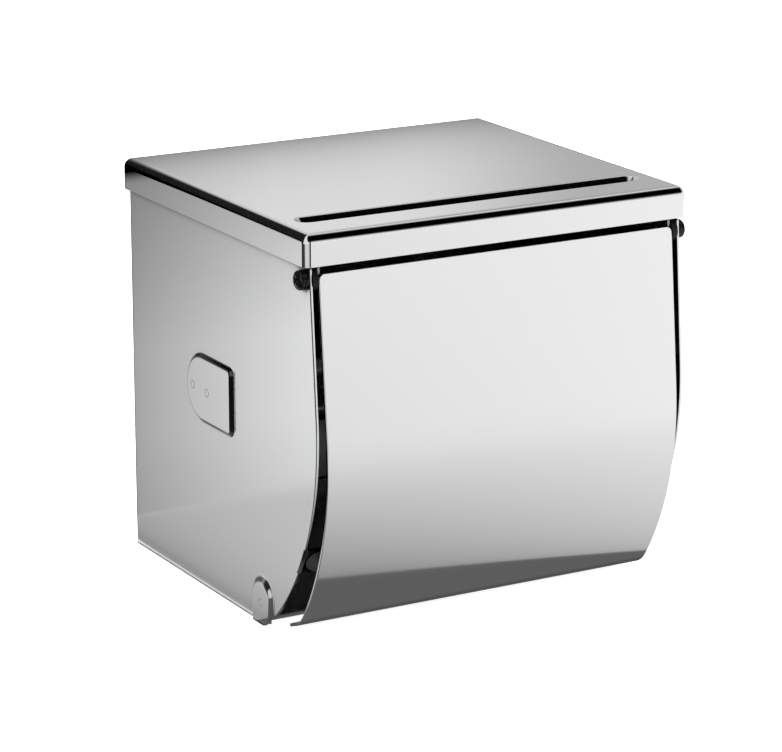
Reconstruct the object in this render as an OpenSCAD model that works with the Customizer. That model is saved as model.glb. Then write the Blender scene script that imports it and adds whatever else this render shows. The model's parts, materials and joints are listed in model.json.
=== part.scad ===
// Wall-mounted toilet paper holder: a closed sheet-metal box with a swinging front cover.
// Origin: centre of the wall screw pattern on the wall face, level with the roller.
// +X is to the right seen from the front, +Z is up, and the wall is behind the plane y = 0.

/* [Box] */
// Width over the lid
lid_w = 138; // [126:1:170]
// Depth from the wall to the front of the lid
lid_d = 127.5; // [120:0.5:155]
// Height from the bottom edge of the sides to the top of the lid
box_h = 134; // [126:1:165]
// Height of the roller's axis above the bottom edge of the sides
roller_z = 68; // [62:1:80]
// Distance from the wall to the roller's axis
roller_y = 66; // [61:1:76]
// Thickness of the steel sheet
sheet = 1; // [0.8:0.1:1.2]

/* [Lid] */
// Depth of the lid's rim
rim_h = 10.4; // [9:0.2:12]
// Outer radius of the lid's edges and corners
lid_r = 3; // [2.5:0.5:3.5]
// Gap between the rim and the sides
rim_gap = 1; // [0.8:0.1:1.5]
// Width of the groove across the lid
groove_w = 8; // [7:0.5:10]
// Depth of the groove
groove_depth = 2; // [1.5:0.1:2.5]
// Distance from the front of the lid to the middle of the groove
groove_inset = 18.4; // [16:0.2:24]
// Distance from each side of the lid to the end of the groove
groove_end = 6.5; // [6:0.5:20]

/* [Sides] */
// Lean of the straight part of the front edges, in degrees
side_lean = 4.5; // [3:0.1:5]
// Radius of the swept lower front edges
side_r = 88; // [84:1:96]
// Height of the foremost point of the sides above the bottom edge
side_nose_z = 69.2; // [66:0.2:80]
// Distance from the front of the lid back to the sides' front edges, level with the rim
side_inset = 1.1; // [0.8:0.1:2]
// Radius of the bottom front corners
side_corner_r = 4; // [2:0.5:6]
// Outer radius of the folds at the back
fold_r = 2; // [1.5:0.1:3]
// Height of the pressed pockets and channels
press_h = 1.2; // [1:0.1:1.5]

/* [Roll bracket] */
// Height of the D-shaped pocket
pocket_h = 23; // [21:0.5:30]
// Length of the D-shaped pocket
pocket_l = 32.5; // [30:0.5:40]
// Distance from the flat front of the pocket to the roller's axis
pocket_front = 9.5; // [9:0.5:12]
// Outer radius of the ring that holds the roller's pin
socket_r = 6.5; // [6:0.1:8]
// Length of the ring
socket_l = 5.5; // [5:0.1:7]

/* [Bottom pan] */
// Width of each pressed channel
channel_w = 13.5; // [12:0.5:16]
// Height of the channels above the bottom edge
channel_h = 16; // [13:0.5:22]
// Distance from the front edge of the pan back to the middle of the channels
channel_inset = 2.2; // [0:0.1:8]
// Height of the pan above the bottom edge of the sides
pan_z = 1; // [0.5:0.1:2]
// Gap between the pan and the cover's lip, where the paper comes out
paper_gap = 6.6; // [6:0.2:12]
// Radius of the rolled front edge
pan_bead_r = 1.5; // [1.2:0.1:2]

/* [Cover] */
// Gap between the cover and each side
cover_gap = 2; // [1.5:0.1:3]
// Gap between the lid's rim and the top edge of the cover
cover_top_gap = 2.45; // [2:0.05:4]
// Lean of the flat part of the cover, in degrees
cover_lean = 5.2; // [4.8:0.1:5.6]
// Radius of the swept part of the cover
cover_r = 95; // [90:1:100]
// Distance from the front of the lid back to the top edge of the cover
cover_inset = 0.6; // [0.2:0.1:1.5]
// Height of the foremost point of the cover above the bottom edge of the sides
cover_nose_z = 60.8; // [58:0.2:64]
// Angle at which the sweep ends, in degrees below the level
sweep_end = 34; // [32:0.5:36]
// Outer radius of the bend above the lip
lip_r = 10; // [8:0.5:12]
// Angle at which the bend ends, in degrees below the level
lip_end = 69.5; // [66:0.5:74]
// Length of the lip
lip_l = 8.4; // [6:0.1:9]
// Corner radius of the lip
lip_corner_r = 5; // [3:0.5:8]
// Corner radius of the cover's top edge
top_corner_r = 2; // [1:0.5:3]

/* [Pivot] */
// Metal of the ear between the cover and the hole for the bush
ear_front = 0.3; // [0.3:0.1:1]
// Distance from the lid's rim down to the pivot
pivot_drop = 4.4; // [4.2:0.1:5.5]
// Radius of the screw's shank
screw_r = 1.5; // [1.2:0.1:1.6]
// Radius of the screw's head
head_r = 3.1; // [2.8:0.1:3.3]
// Height of the screw's head
head_h = 2; // [1.6:0.1:2.4]
// Thickness of the washer under the head
washer_t = 1.2; // [0.8:0.1:1.6]
// Outer radius of the washer
washer_r = 3.2; // [3:0.1:3.4]
// Radius of the bush's shoulder, on which the cover turns
shoulder_r = 2.2; // [2:0.05:2.3]
// Radius of the bush's flange
bush_flange_r = 4; // [3.5:0.1:4.2]
// Thickness of the ears on the cover
ear_t = 1; // [0.8:0.1:1.2]

/* [Roller] */
// Outer radius of the wide tube
tube_r = 12.5; // [11:0.5:15]
// Wall of both tubes
tube_wall = 1; // [0.8:0.1:1.2]
// Radius of the roller's end pins
pin_r = 4; // [3.5:0.1:4.5]
// Overlap of the two tubes
tube_lap = 20; // [16:1:26]
// Diameter of the spring's wire
wire_d = 1.2; // [1:0.1:1.4]
// Distance between the spring and the narrow tube around it
spring_room = 2.3; // [1.5:0.1:3]
// Turns of the spring
spring_turns = 13; // [10:1:15]

/* [Wall holes] */
// Spacing of the holes across the back
hole_dx = 80; // [60:1:90]
// Spacing of the holes up the back
hole_dz = 60; // [50:1:80]
// Radius of the holes
hole_r = 2.5; // [2:0.1:3]

/* [Hidden] */
$fn = 96;
// Running clearance between a turning pin and its hole
run = 0.05;
// Sliding clearance between the two tubes
slide = 0.2;
// Clearance between pieces that face each other but don't bear
ease = 0.3;
// Clearance around sheet metal that is welded on one face
fit = 0.1;
// Overlap that makes touching stretches of one sheet a single solid
join = 0.02;
// Reach of a cutting shape past what it cuts
past = 1;
// Long enough to reach past the whole box
far = 400;

z_bottom = -roller_z;
z_top = z_bottom + box_h;
z_rim = z_top - rim_h;
z_seat = z_top - sheet;
half_lid = lid_w / 2;
half_body = half_lid - sheet - rim_gap;
half_in = half_body - sheet;
half_cover = half_in - cover_gap;

// Side: where its straight front edge ends, the centre of its sweep and its full-depth height
side_cz = z_bottom + side_nose_z;
side_z0 = side_cz + side_r * sin(side_lean);
side_y0 = side_inset - lid_d - (z_rim - side_z0) * tan(side_lean);
side_cy = side_y0 + side_r * cos(side_lean);
rim_drop = 0.5;
z_side = z_rim - rim_drop;

// Flange under the lid: its reach and its distances from the back and front of the lid
seat_w = 9;
seat_back = 8;
seat_groove_gap = 4;
seat_front = groove_inset + groove_w / 2 + seat_groove_gap;

// Cover: its top edge, where its flat part ends, the centres of its sweep and bend, and its tip
cover_cz = z_bottom + cover_nose_z;
cover_top = z_rim - cover_top_gap;
flat_z = cover_cz + cover_r * sin(cover_lean);
flat_y = cover_inset - lid_d - (cover_top - flat_z) * tan(cover_lean);
cover_cy = flat_y + cover_r * cos(cover_lean);
bend_cy = cover_cy - (cover_r - lip_r) * cos(sweep_end);
bend_cz = cover_cz - (cover_r - lip_r) * sin(sweep_end);
lip_y = bend_cy - lip_r * cos(lip_end);
lip_z = bend_cz - lip_r * sin(lip_end);
tip_y = lip_y + lip_l * sin(lip_end);

// Pivot: it lies just behind the cover's inner face, and its ears clear the lid's rim
pivot_z = z_rim - pivot_drop;
ear_hole_r = shoulder_r + run;
pivot_y = flat_y + (pivot_z - flat_z) * tan(cover_lean) + (sheet + ear_front + ear_hole_r) / cos(cover_lean);
ear_rim_gap = 0.7;
ear_r = norm([pivot_y + lid_d - sheet, pivot_drop]) - ear_rim_gap;
bush_play = 0.2;
bush_flange_t = cover_gap - bush_play;
bush_l = cover_gap + ear_t + ease;

// Pan: its front edge, the channels beside it and the tabs that are welded in them
pan_front = tip_y + paper_gap;
channel_y = pan_front + channel_inset;
channel_floor_r = channel_w / 2 - sheet / 2 - press_h;
tab_room = 1;
tab_w = 2 * (channel_floor_r - tab_room);
tab_h = channel_h - channel_w / 2 + channel_floor_r / 2 - pan_z;

// Roller: its pins, caps, tubes and spring
pin_l = socket_l - ease;
pin_hole_r = pin_r + run;
roller_half = half_in - socket_l - ease;
cap_t = 1;
spigot_l = 8;
cup_floor = 2;
inner_tube_r = tube_r - tube_wall - slide;
outer_end = tube_lap / 2;
spring_r = inner_tube_r - tube_wall - spring_room;

// Stop: its tab on the side's front edge, and a dome that ends just short of the cover
stop_up = 28;
stop_w = 9;
stop_h = 10;
stop_tip_r = 2;
stop_gap = 0.8;
stop_angle = asin((side_nose_z - stop_up) / side_r);
stop_along = (side_cy - cover_cy) * cos(stop_angle) + (side_cz - cover_cz) * sin(stop_angle);
stop_across = norm([side_cy - cover_cy, side_cz - cover_cz]);
stop_reach = stop_along + sqrt(pow(stop_along, 2) - pow(stop_across, 2) + pow(cover_r - sheet, 2));
stop_dome = stop_reach - side_r - stop_gap;

steel = [0.80, 0.80, 0.81];
dull_steel = [0.68, 0.69, 0.70];
black = [0.06, 0.06, 0.06];
nylon = [0.90, 0.90, 0.88];
silicone = [0.75, 0.76, 0.77];

// Turns a flat (y, z) outline into a plate that runs along +X
module along_x(len) rotate([90, 0, 90]) linear_extrude(len) children();
module at_left() children();
module at_right() mirror([1, 0, 0]) children();
module both() {
  at_left() children();
  at_right() children();
}
// A round bar along +X from x0, centred on (y, z)
module bar_x(x0, len, r, y, z) translate([x0, y, z]) rotate([0, 90, 0]) cylinder(h = len, r = r);

// Block with its top edges and upright corners rounded; its front is at y = -d and its back at y = 0
module rounded_cap(w, d, h, r) {
  for (x = [-w / 2 + r, w / 2 - r], y = [-d + r, -r]) {
    translate([x, y, -h]) cylinder(h = h - r, r = r);
    translate([x, y, -r]) sphere(r = r);
  }
  for (y = [-d + r, -r]) bar_x(-w / 2 + r, w - 2 * r, r, y, -r);
  for (x = [-w / 2 + r, w / 2 - r])
    translate([x, -r, -r]) rotate([90, 0, 0]) cylinder(h = d - 2 * r, r = r);
  translate([-w / 2 + r, -d + r, -h]) cube([w - 2 * r, d - 2 * r, h]);
  translate([-w / 2 + r, -d, -h]) cube([w - 2 * r, d, h - r]);
  translate([-w / 2, -d + r, -h]) cube([w, d - 2 * r, h - r]);
}

// Trough with round ends and walls at 45 degrees, r wide at its mouth and depth deep
module trough(half_len, r, depth) {
  for (s = [-1, 1]) translate([s * (half_len - r), 0, -depth]) cylinder(h = depth, r1 = r - depth, r2 = r);
  translate([-half_len + r, 0, 0])
    along_x(2 * (half_len - r)) polygon([[-r, 0], [r, 0], [r - depth, -depth], [depth - r, -depth]]);
}

module lid_cap() {
  groove_y = groove_inset - lid_d;
  color(steel) translate([0, 0, z_top]) difference() {
    union() {
      difference() {
        rounded_cap(lid_w, lid_d, rim_h, lid_r);
        translate([0, -sheet, -sheet])
          rounded_cap(lid_w - 2 * sheet, lid_d - 2 * sheet, rim_h, lid_r - sheet);
      }
      translate([0, groove_y, -sheet / 2])
        trough(half_lid - groove_end + sheet / 2, groove_w / 2 + sheet / 2, groove_depth + sheet / 2);
    }
    translate([0, groove_y, join]) trough(half_lid - groove_end, groove_w / 2, groove_depth);
  }
}

// Outline of one side seen along X: a leaning front edge that sweeps back into the bottom
module side_outline() {
  fillet_cz = z_bottom + side_corner_r;
  fillet_in = side_r - side_corner_r;
  fillet_angle = asin((side_cz - fillet_cz) / fillet_in);
  fillet_cy = side_cy - fillet_in * cos(fillet_angle);
  difference() {
    union() {
      intersection() {
        translate([side_cy, side_cz]) circle(r = side_r, $fn = 240);
        translate([-far, z_bottom]) square([far + side_cy, side_z0 - z_bottom]);
      }
      polygon([
        [side_y0, side_z0], [side_y0 + (z_side - side_z0) * tan(side_lean), z_side],
        [0, z_side], [0, side_z0]
      ]);
      translate([side_cy, z_bottom]) square([-side_cy, side_z0 - z_bottom]);
      translate([sheet + rim_gap - lid_d, z_side - past])
        square([lid_d - rim_gap - 3 * sheet, z_seat - fold_r - z_side + past]);
    }
    difference() {
      polygon([
        [fillet_cy, fillet_cz], [fillet_cy, z_bottom - past],
        [fillet_cy - 4 * side_corner_r, z_bottom - past],
        [fillet_cy - 4 * side_corner_r, fillet_cz - 4 * side_corner_r * tan(fillet_angle)]
      ]);
      translate([fillet_cy, fillet_cz]) circle(r = side_corner_r);
    }
  }
}

// Plan of the folded sheet: a back and two sides with rounded folds
module folded_plan() {
  difference() {
    union() {
      translate([-half_body + fold_r, -far]) square([2 * (half_body - fold_r), far]);
      translate([-half_body, -far]) square([2 * half_body, far - fold_r]);
      for (s = [-1, 1]) translate([s * (half_body - fold_r), -fold_r]) circle(r = fold_r);
    }
    translate([-half_in + fold_r - sheet, -far - past])
      square([2 * (half_in - fold_r + sheet), far + past - sheet]);
    translate([-half_in, -far - past]) square([2 * half_in, far + past - fold_r]);
    for (s = [-1, 1]) translate([s * (half_body - fold_r), -fold_r]) circle(r = fold_r - sheet);
  }
}

// Pressed D on the left side, from x = -half_body outwards by h, grown by g, with walls at 45 degrees
module pressed_d(x0, h, g) {
  r = pocket_h / 2 + g;
  front = -roller_y - pocket_front - g;
  back_c = front + pocket_l + 2 * g - r;
  intersection() {
    union() {
      translate([x0, back_c, 0]) rotate([0, -90, 0]) cylinder(h = h, r1 = r, r2 = r - h);
      translate([x0, back_c, 0]) rotate([90, 0, 0]) linear_extrude(back_c - front)
        polygon([[0, -r], [0, r], [-h, r - h], [-h, h - r]]);
    }
    translate([x0, 0, -r]) linear_extrude(2 * r)
      polygon([[0, front], [0, 0], [-h, 0], [-h, front + h]]);
  }
}

// Pressed channel on the left side, open at the bottom edge
module pressed_channel(x0, h, g) {
  r = channel_w / 2 + g;
  top_c = z_bottom + channel_h + g - r;
  translate([x0, channel_y, top_c]) rotate([0, -90, 0]) cylinder(h = h, r1 = r, r2 = r - h);
  translate([x0, channel_y, z_bottom - past]) linear_extrude(top_c - z_bottom + past)
    polygon([[0, -r], [0, r], [-h, r - h], [-h, h - r]]);
}

// Flange folded in from the top of the left side, on which the lid is welded
module top_seat() {
  run_l = lid_d - seat_front - seat_back;
  translate([0, -seat_back, 0]) rotate([90, 0, 0]) linear_extrude(run_l) {
    intersection() {
      difference() {
        translate([-half_body + fold_r, z_seat - fold_r]) circle(r = fold_r);
        translate([-half_body + fold_r, z_seat - fold_r]) circle(r = fold_r - sheet);
      }
      translate([-half_body, z_seat - fold_r]) square(fold_r);
    }
    translate([-half_body + fold_r, z_seat - sheet]) square([seat_w - fold_r, sheet]);
  }
}

// Tab folded in from the left front edge, on which the cover's stop sits
module stop_tab() {
  translate([-half_body, side_cy, side_cz]) rotate([stop_angle, 0, 0])
    translate([0, -side_r, -stop_h / 2]) cube([sheet + stop_w, sheet, stop_h]);
}

module body_shell() {
  color(steel) difference() {
    union() {
      difference() {
        intersection() {
          translate([0, 0, z_bottom]) linear_extrude(box_h) folded_plan();
          translate([-half_body, 0, 0]) along_x(2 * half_body) side_outline();
        }
        for (x = [-hole_dx / 2, hole_dx / 2], z = [-hole_dz / 2, hole_dz / 2])
          translate([x, past, z]) rotate([90, 0, 0]) cylinder(h = sheet + 2 * past, r = hole_r);
      }
      intersection() {
        both() {
          pressed_d(-half_body, press_h, 0);
          pressed_channel(-half_body, press_h, 0);
        }
        translate([-far / 2, 0, 0]) along_x(far) side_outline();
      }
      both() top_seat();
      both() stop_tab();
    }
    both() {
      pressed_d(sheet - half_body, press_h, -sheet / 2);
      pressed_channel(sheet - half_body, press_h, -sheet / 2);
      bar_x(-half_body - past, sheet + 2 * past, screw_r + run, pivot_y, pivot_z);
    }
  }
}

module bottom_pan() {
  pan_half = half_in - fit;
  z0 = z_bottom + pan_z;
  tab_x = half_in + press_h;
  front_c = pan_front + pan_bead_r;
  tab_front = channel_y - tab_w / 2;
  color(dull_steel) {
    translate([-pan_half, front_c, z0]) cube([2 * pan_half, -front_c - fold_r, sheet]);
    translate([fold_r - pan_half, -2 * sheet, z0]) cube([2 * (pan_half - fold_r), sheet, tab_h]);
    bar_x(-pan_half, 2 * pan_half, pan_bead_r, front_c, z0 + pan_bead_r);
    for (s = [0, 1]) mirror([s, 0, 0]) {
      translate([-tab_x, front_c, z0]) cube([tab_x - pan_half + past, tab_front + tab_w - front_c, sheet]);
      translate([-tab_x, tab_front, z0]) cube([sheet, tab_w, tab_h]);
    }
  }
}

// D-shaped plate welded in the left pocket, with a ring for the roller's pin
module roll_bracket() {
  color(dull_steel) difference() {
    union() {
      pressed_d(-half_in, press_h, -sheet / 2 - fit);
      bar_x(-half_in - join, socket_l + join, socket_r, -roller_y, 0);
    }
    bar_x(-half_in - press_h / 2, socket_l + press_h, pin_hole_r, -roller_y, 0);
  }
}
module roll_bracket_left() roll_bracket();
module roll_bracket_right() at_right() roll_bracket();

// Soft domed stop on the left tab
module cover_stop() {
  color(silicone) translate([-half_in + stop_w / 2, side_cy, side_cz]) rotate([stop_angle, 0, 0])
    translate([0, -side_r, 0]) rotate([90, 0, 0]) cylinder(h = stop_dome, r1 = stop_w / 2 - ease, r2 = stop_tip_r);
}
module cover_stop_left() cover_stop();
module cover_stop_right() at_right() cover_stop();

// Black pan-head screw with a cross recess, on the left
module pivot_screw() {
  head_x = -half_body - washer_t;
  crown = 0.8;
  slot_l = 3.4;
  slot_w = 0.8;
  slot_depth = 1.2;
  color(black) difference() {
    union() {
      bar_x(head_x, washer_t + sheet + bush_l, screw_r, pivot_y, pivot_z);
      bar_x(head_x - head_h + crown, head_h - crown, head_r, pivot_y, pivot_z);
      translate([head_x - head_h + crown, pivot_y, pivot_z]) rotate([0, -90, 0])
        cylinder(h = crown, r1 = head_r, r2 = head_r - crown);
    }
    for (a = [45, -45])
      translate([head_x - head_h, pivot_y, pivot_z]) rotate([a, 0, 0])
        cube([2 * slot_depth, slot_w, slot_l], center = true);
  }
}
module pivot_screw_left() pivot_screw();
module pivot_screw_right() at_right() pivot_screw();

module pivot_washer() {
  color(black) difference() {
    bar_x(-half_body - washer_t, washer_t, washer_r, pivot_y, pivot_z);
    bar_x(-half_body - washer_t - past, washer_t + 2 * past, screw_r + run, pivot_y, pivot_z);
  }
}
module pivot_washer_left() pivot_washer();
module pivot_washer_right() at_right() pivot_washer();

// Flanged nylon bush that the screw clamps to the side; the cover's ear turns on its shoulder
module pivot_bush() {
  color(nylon) difference() {
    union() {
      bar_x(-half_in, bush_flange_t, bush_flange_r, pivot_y, pivot_z);
      bar_x(-half_in, bush_l, shoulder_r, pivot_y, pivot_z);
    }
    bar_x(-half_in - past, bush_l + 2 * past, screw_r + run, pivot_y, pivot_z);
  }
}
module pivot_bush_left() pivot_bush();
module pivot_bush_right() at_right() pivot_bush();

// Wedge from angle a0 to a1 below the level, pointing forwards
module front_wedge(a0, a1) {
  polygon([[0, 0], [-far * cos(a0), -far * sin(a0)], [-far * cos((a0 + a1) / 2), -far * sin((a0 + a1) / 2)],
    [-far * cos(a1), -far * sin(a1)]]);
}
module ring_piece(r, t, a0, a1) {
  intersection() {
    difference() {
      circle(r = r, $fn = 240);
      circle(r = r - t, $fn = 240);
    }
    front_wedge(a0, a1);
  }
}

// Cover's section seen along X, t thick inwards from its outer face
module cover_section(t) {
  bend_lap = 0.1;
  rise = cover_top - flat_z;
  difference() {
    translate([flat_y, flat_z]) rotate(-cover_lean) translate([0, -join]) square([t, 2 * rise]);
    translate([-far, cover_top]) square([2 * far, far]);
  }
  translate([cover_cy, cover_cz]) ring_piece(cover_r, t, -cover_lean, sweep_end);
  translate([bend_cy, bend_cz]) ring_piece(lip_r, t, sweep_end - bend_lap, lip_end);
  translate([lip_y, lip_z]) rotate(lip_end - 90) translate([-join, 0]) square([lip_l + join, t]);
}

module front_cover() {
  color(steel) intersection() {
    translate([-half_cover, 0, 0]) along_x(2 * half_cover) cover_section(sheet);
    union() {
      translate([-half_cover, -far, z_bottom]) cube([2 * half_cover, far + tip_y - lip_corner_r, far]);
      translate([-half_cover + lip_corner_r, -far, z_bottom]) cube([2 * (half_cover - lip_corner_r), far, far]);
      for (s = [-1, 1]) translate([s * (half_cover - lip_corner_r), tip_y - lip_corner_r, z_bottom])
        cylinder(h = far, r = lip_corner_r);
    }
    union() {
      translate([-half_cover, -far, z_bottom]) cube([2 * half_cover, far, cover_top - top_corner_r - z_bottom]);
      translate([-half_cover + top_corner_r, -far, z_bottom])
        cube([2 * (half_cover - top_corner_r), far, cover_top - z_bottom]);
      for (s = [-1, 1]) translate([s * (half_cover - top_corner_r), -far / 2, cover_top - top_corner_r])
        rotate([90, 0, 0]) cylinder(h = far, r = top_corner_r, center = true);
    }
  }
}

// Angle bracket welded inside the left edge of the cover, with the ear that turns on the bush
module cover_ear() {
  leaf_w = 14;
  leaf_l = 20;
  leaf_top = pivot_z - ear_r + ease;
  foot_y = pivot_y - ear_t;
  color(dull_steel) difference() {
    union() {
      translate([-half_cover, 0, 0]) along_x(ear_t) difference() {
        union() {
          translate([pivot_y, pivot_z]) circle(r = ear_r);
          translate([-far, leaf_top - leaf_l]) polygon([
            [0, 0], [far + foot_y, 0], [far + pivot_y + ear_r, pivot_z - leaf_top + leaf_l],
            [0, pivot_z - leaf_top + leaf_l]
          ]);
        }
        front_space();
      }
      intersection() {
        translate([-half_cover, 0, 0]) along_x(leaf_w) difference() {
          cover_section(sheet + ear_t);
          front_space();
        }
        translate([-half_cover, -far, leaf_top - leaf_l]) cube([leaf_w, far, leaf_l]);
      }
    }
    bar_x(-half_cover - past, ear_t + 2 * past, ear_hole_r, pivot_y, pivot_z);
  }
}
// Everything in front of the cover's inner face, along its flat part
module front_space() {
  translate([flat_y, flat_z]) rotate(-cover_lean) translate([sheet - far, -far]) square([far, 2 * far]);
}
module cover_ear_left() cover_ear();
module cover_ear_right() at_right() cover_ear();

module tube_x(x0, len, r) {
  difference() {
    bar_x(x0, len, r, -roller_y, 0);
    bar_x(x0 - past, len + 2 * past, r - tube_wall, -roller_y, 0);
  }
}
module roller_outer_tube() {
  color(steel) tube_x(-roller_half + cap_t, roller_half - cap_t + outer_end, tube_r);
}
module roller_inner_tube() {
  color(steel) tube_x(-outer_end, roller_half - cap_t + outer_end, inner_tube_r);
}

// End cap at the left: a disc, a spigot that fills a tube of bore r and a pin with a bevelled tip
module roller_cap(r) {
  bevel = 0.8;
  color(nylon) {
    bar_x(-roller_half, cap_t, tube_r, -roller_y, 0);
    difference() {
      bar_x(-roller_half, cap_t + spigot_l, r, -roller_y, 0);
      bar_x(-roller_half + cap_t + cup_floor, spigot_l, spring_r + ease, -roller_y, 0);
    }
    bar_x(-roller_half - pin_l + bevel, pin_l, pin_r, -roller_y, 0);
    translate([-roller_half - pin_l, -roller_y, 0]) rotate([0, 90, 0])
      cylinder(h = bevel, r1 = pin_r - bevel, r2 = pin_r);
  }
}
module roller_cap_left() roller_cap(tube_r - tube_wall);
module roller_cap_right() at_right() roller_cap(inner_tube_r - tube_wall);

// Compression spring between the two caps: a swept helix
module roller_spring() {
  sides = 6;
  steps = 12;
  rings = spring_turns * steps;
  x0 = -roller_half + cap_t + cup_floor + wire_d / 2 + run;
  len = -2 * x0;
  coil_r = spring_r - wire_d / 2;
  points = [for (i = [0:rings], k = [0:sides - 1])
    let (a = 360 * i / steps, b = 360 * k / sides, r = coil_r + wire_d / 2 * cos(b))
    [x0 + len * i / rings + wire_d / 2 * sin(b), r * cos(a) - roller_y, r * sin(a)]];
  walls = [for (i = [0:rings - 1], k = [0:sides - 1])
    let (n = (k + 1) % sides, here = i * sides, next = here + sides)
    each [[here + k, here + n, next + n], [here + k, next + n, next + k]]];
  ends = [[for (k = [sides - 1:-1:0]) k], [for (k = [0:sides - 1]) rings * sides + k]];
  color(steel) polyhedron(points, concat(walls, ends), convexity = 10);
}

body_shell();
lid_cap();
bottom_pan();
roll_bracket_left();
roll_bracket_right();
cover_stop_left();
cover_stop_right();
pivot_screw_left();
pivot_screw_right();
pivot_washer_left();
pivot_washer_right();
pivot_bush_left();
pivot_bush_right();
front_cover();
cover_ear_left();
cover_ear_right();
roller_outer_tube();
roller_cap_left();
roller_inner_tube();
roller_cap_right();
roller_spring();
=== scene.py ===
"""Looks of a closed wall-mounted toilet paper holder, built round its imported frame.

Every piece is in metres in the frame's own axes: +X to the right seen from the front,
+Y into the wall and +Z up.
"""

from __future__ import annotations

import json
import logging
import math
from dataclasses import dataclass, field
from enum import Enum
from typing import Callable, Sequence

import bmesh
import bpy
from mathutils import Matrix, Vector


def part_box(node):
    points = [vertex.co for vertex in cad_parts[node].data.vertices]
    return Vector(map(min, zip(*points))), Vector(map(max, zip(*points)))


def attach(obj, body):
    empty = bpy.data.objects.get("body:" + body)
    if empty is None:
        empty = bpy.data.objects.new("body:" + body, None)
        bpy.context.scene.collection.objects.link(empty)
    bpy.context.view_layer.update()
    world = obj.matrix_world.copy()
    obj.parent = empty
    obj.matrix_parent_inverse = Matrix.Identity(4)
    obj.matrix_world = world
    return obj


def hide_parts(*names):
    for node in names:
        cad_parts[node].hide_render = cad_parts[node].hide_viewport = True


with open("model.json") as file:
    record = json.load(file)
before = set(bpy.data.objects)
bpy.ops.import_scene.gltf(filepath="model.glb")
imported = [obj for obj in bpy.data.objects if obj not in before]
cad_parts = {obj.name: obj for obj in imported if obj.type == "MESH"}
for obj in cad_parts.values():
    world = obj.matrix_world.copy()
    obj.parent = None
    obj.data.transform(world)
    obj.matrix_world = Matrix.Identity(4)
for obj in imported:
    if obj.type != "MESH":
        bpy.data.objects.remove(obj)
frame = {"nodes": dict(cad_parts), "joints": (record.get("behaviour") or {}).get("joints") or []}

LOG = logging.getLogger("paper_holder")
MM = 0.001
Point = tuple[float, float]
Loop = list[Vector]


class Body(Enum):
    """The bodies that move against each other."""

    CASE = "case"
    COVER = "cover"
    ROLLER = "roller"
    SLIDER = "roller_slider"


class Grain(Enum):
    """How the polishing lines run over a sheet: the stretch of the pattern along x, y and z."""

    ACROSS = (6.0, 900.0, 900.0)
    AROUND = (6.0, 6.0, 900.0)
    TURNED = (1600.0, 8.0, 8.0)


class Side(Enum):
    """The two sides of the box, as the sign of x."""

    LEFT = -1
    RIGHT = 1

    @property
    def word(self) -> str:
        """The side's name in a piece's name."""
        return self.name.lower()


# ---------------------------------------------------------------- sizes


@dataclass(frozen=True)
class BoxSizes:
    """Sizes that several sub-assemblies share, read from the frame.

    Attributes:
        half_lid: half the width over the lid.
        lid_d: depth from the wall to the front of the lid.
        z_top: height of the lid's top.
        z_rim: height of the lower edge of the lid's rim.
        z_bottom: height of the bottom edges of the sides.
        half_cover: half the width of the cover.
        cover_top: height of the cover's top edge.
        pivot: the cover's pivot.
        axle: the roller's axis.
        sheet: thickness of the steel.
        press_h: height of the pressed pockets and channels.
        rim_gap: gap between the lid's rim and the sides.
        channel_y: place of the middle of the bottom channels.
    """

    half_lid: float
    lid_d: float
    z_top: float
    z_rim: float
    z_bottom: float
    half_cover: float
    cover_top: float
    pivot: Vector
    axle: Vector
    sheet: float = 1.0 * MM
    press_h: float = 1.2 * MM
    rim_gap: float = 1.0 * MM
    channel_y: float = -94.3 * MM

    @classmethod
    def from_frame(cls) -> BoxSizes:
        """Reads the sizes from the frame's boxes and joints.

        Returns:
            The shared sizes.
        """
        lid_low, lid_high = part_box("lid_cap")
        shell_low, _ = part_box("body_shell")
        _, cover_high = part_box("front_cover")
        joints = {joint["name"]: joint for joint in frame["joints"]}
        return cls(
            half_lid=lid_high.x, lid_d=-lid_low.y, z_top=lid_high.z, z_rim=lid_low.z,
            z_bottom=shell_low.z, half_cover=cover_high.x, cover_top=cover_high.z,
            pivot=Vector(joints["cover_hinge"]["pos_m"]), axle=Vector(joints["roller_spin"]["pos_m"]),
        )

    @property
    def half_body(self) -> float:
        """Half the width over the flat sides."""
        return self.half_lid - self.sheet - self.rim_gap

    @property
    def half_in(self) -> float:
        """Half the width between the sides."""
        return self.half_body - self.sheet


# ---------------------------------------------------------------- meshes


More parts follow.
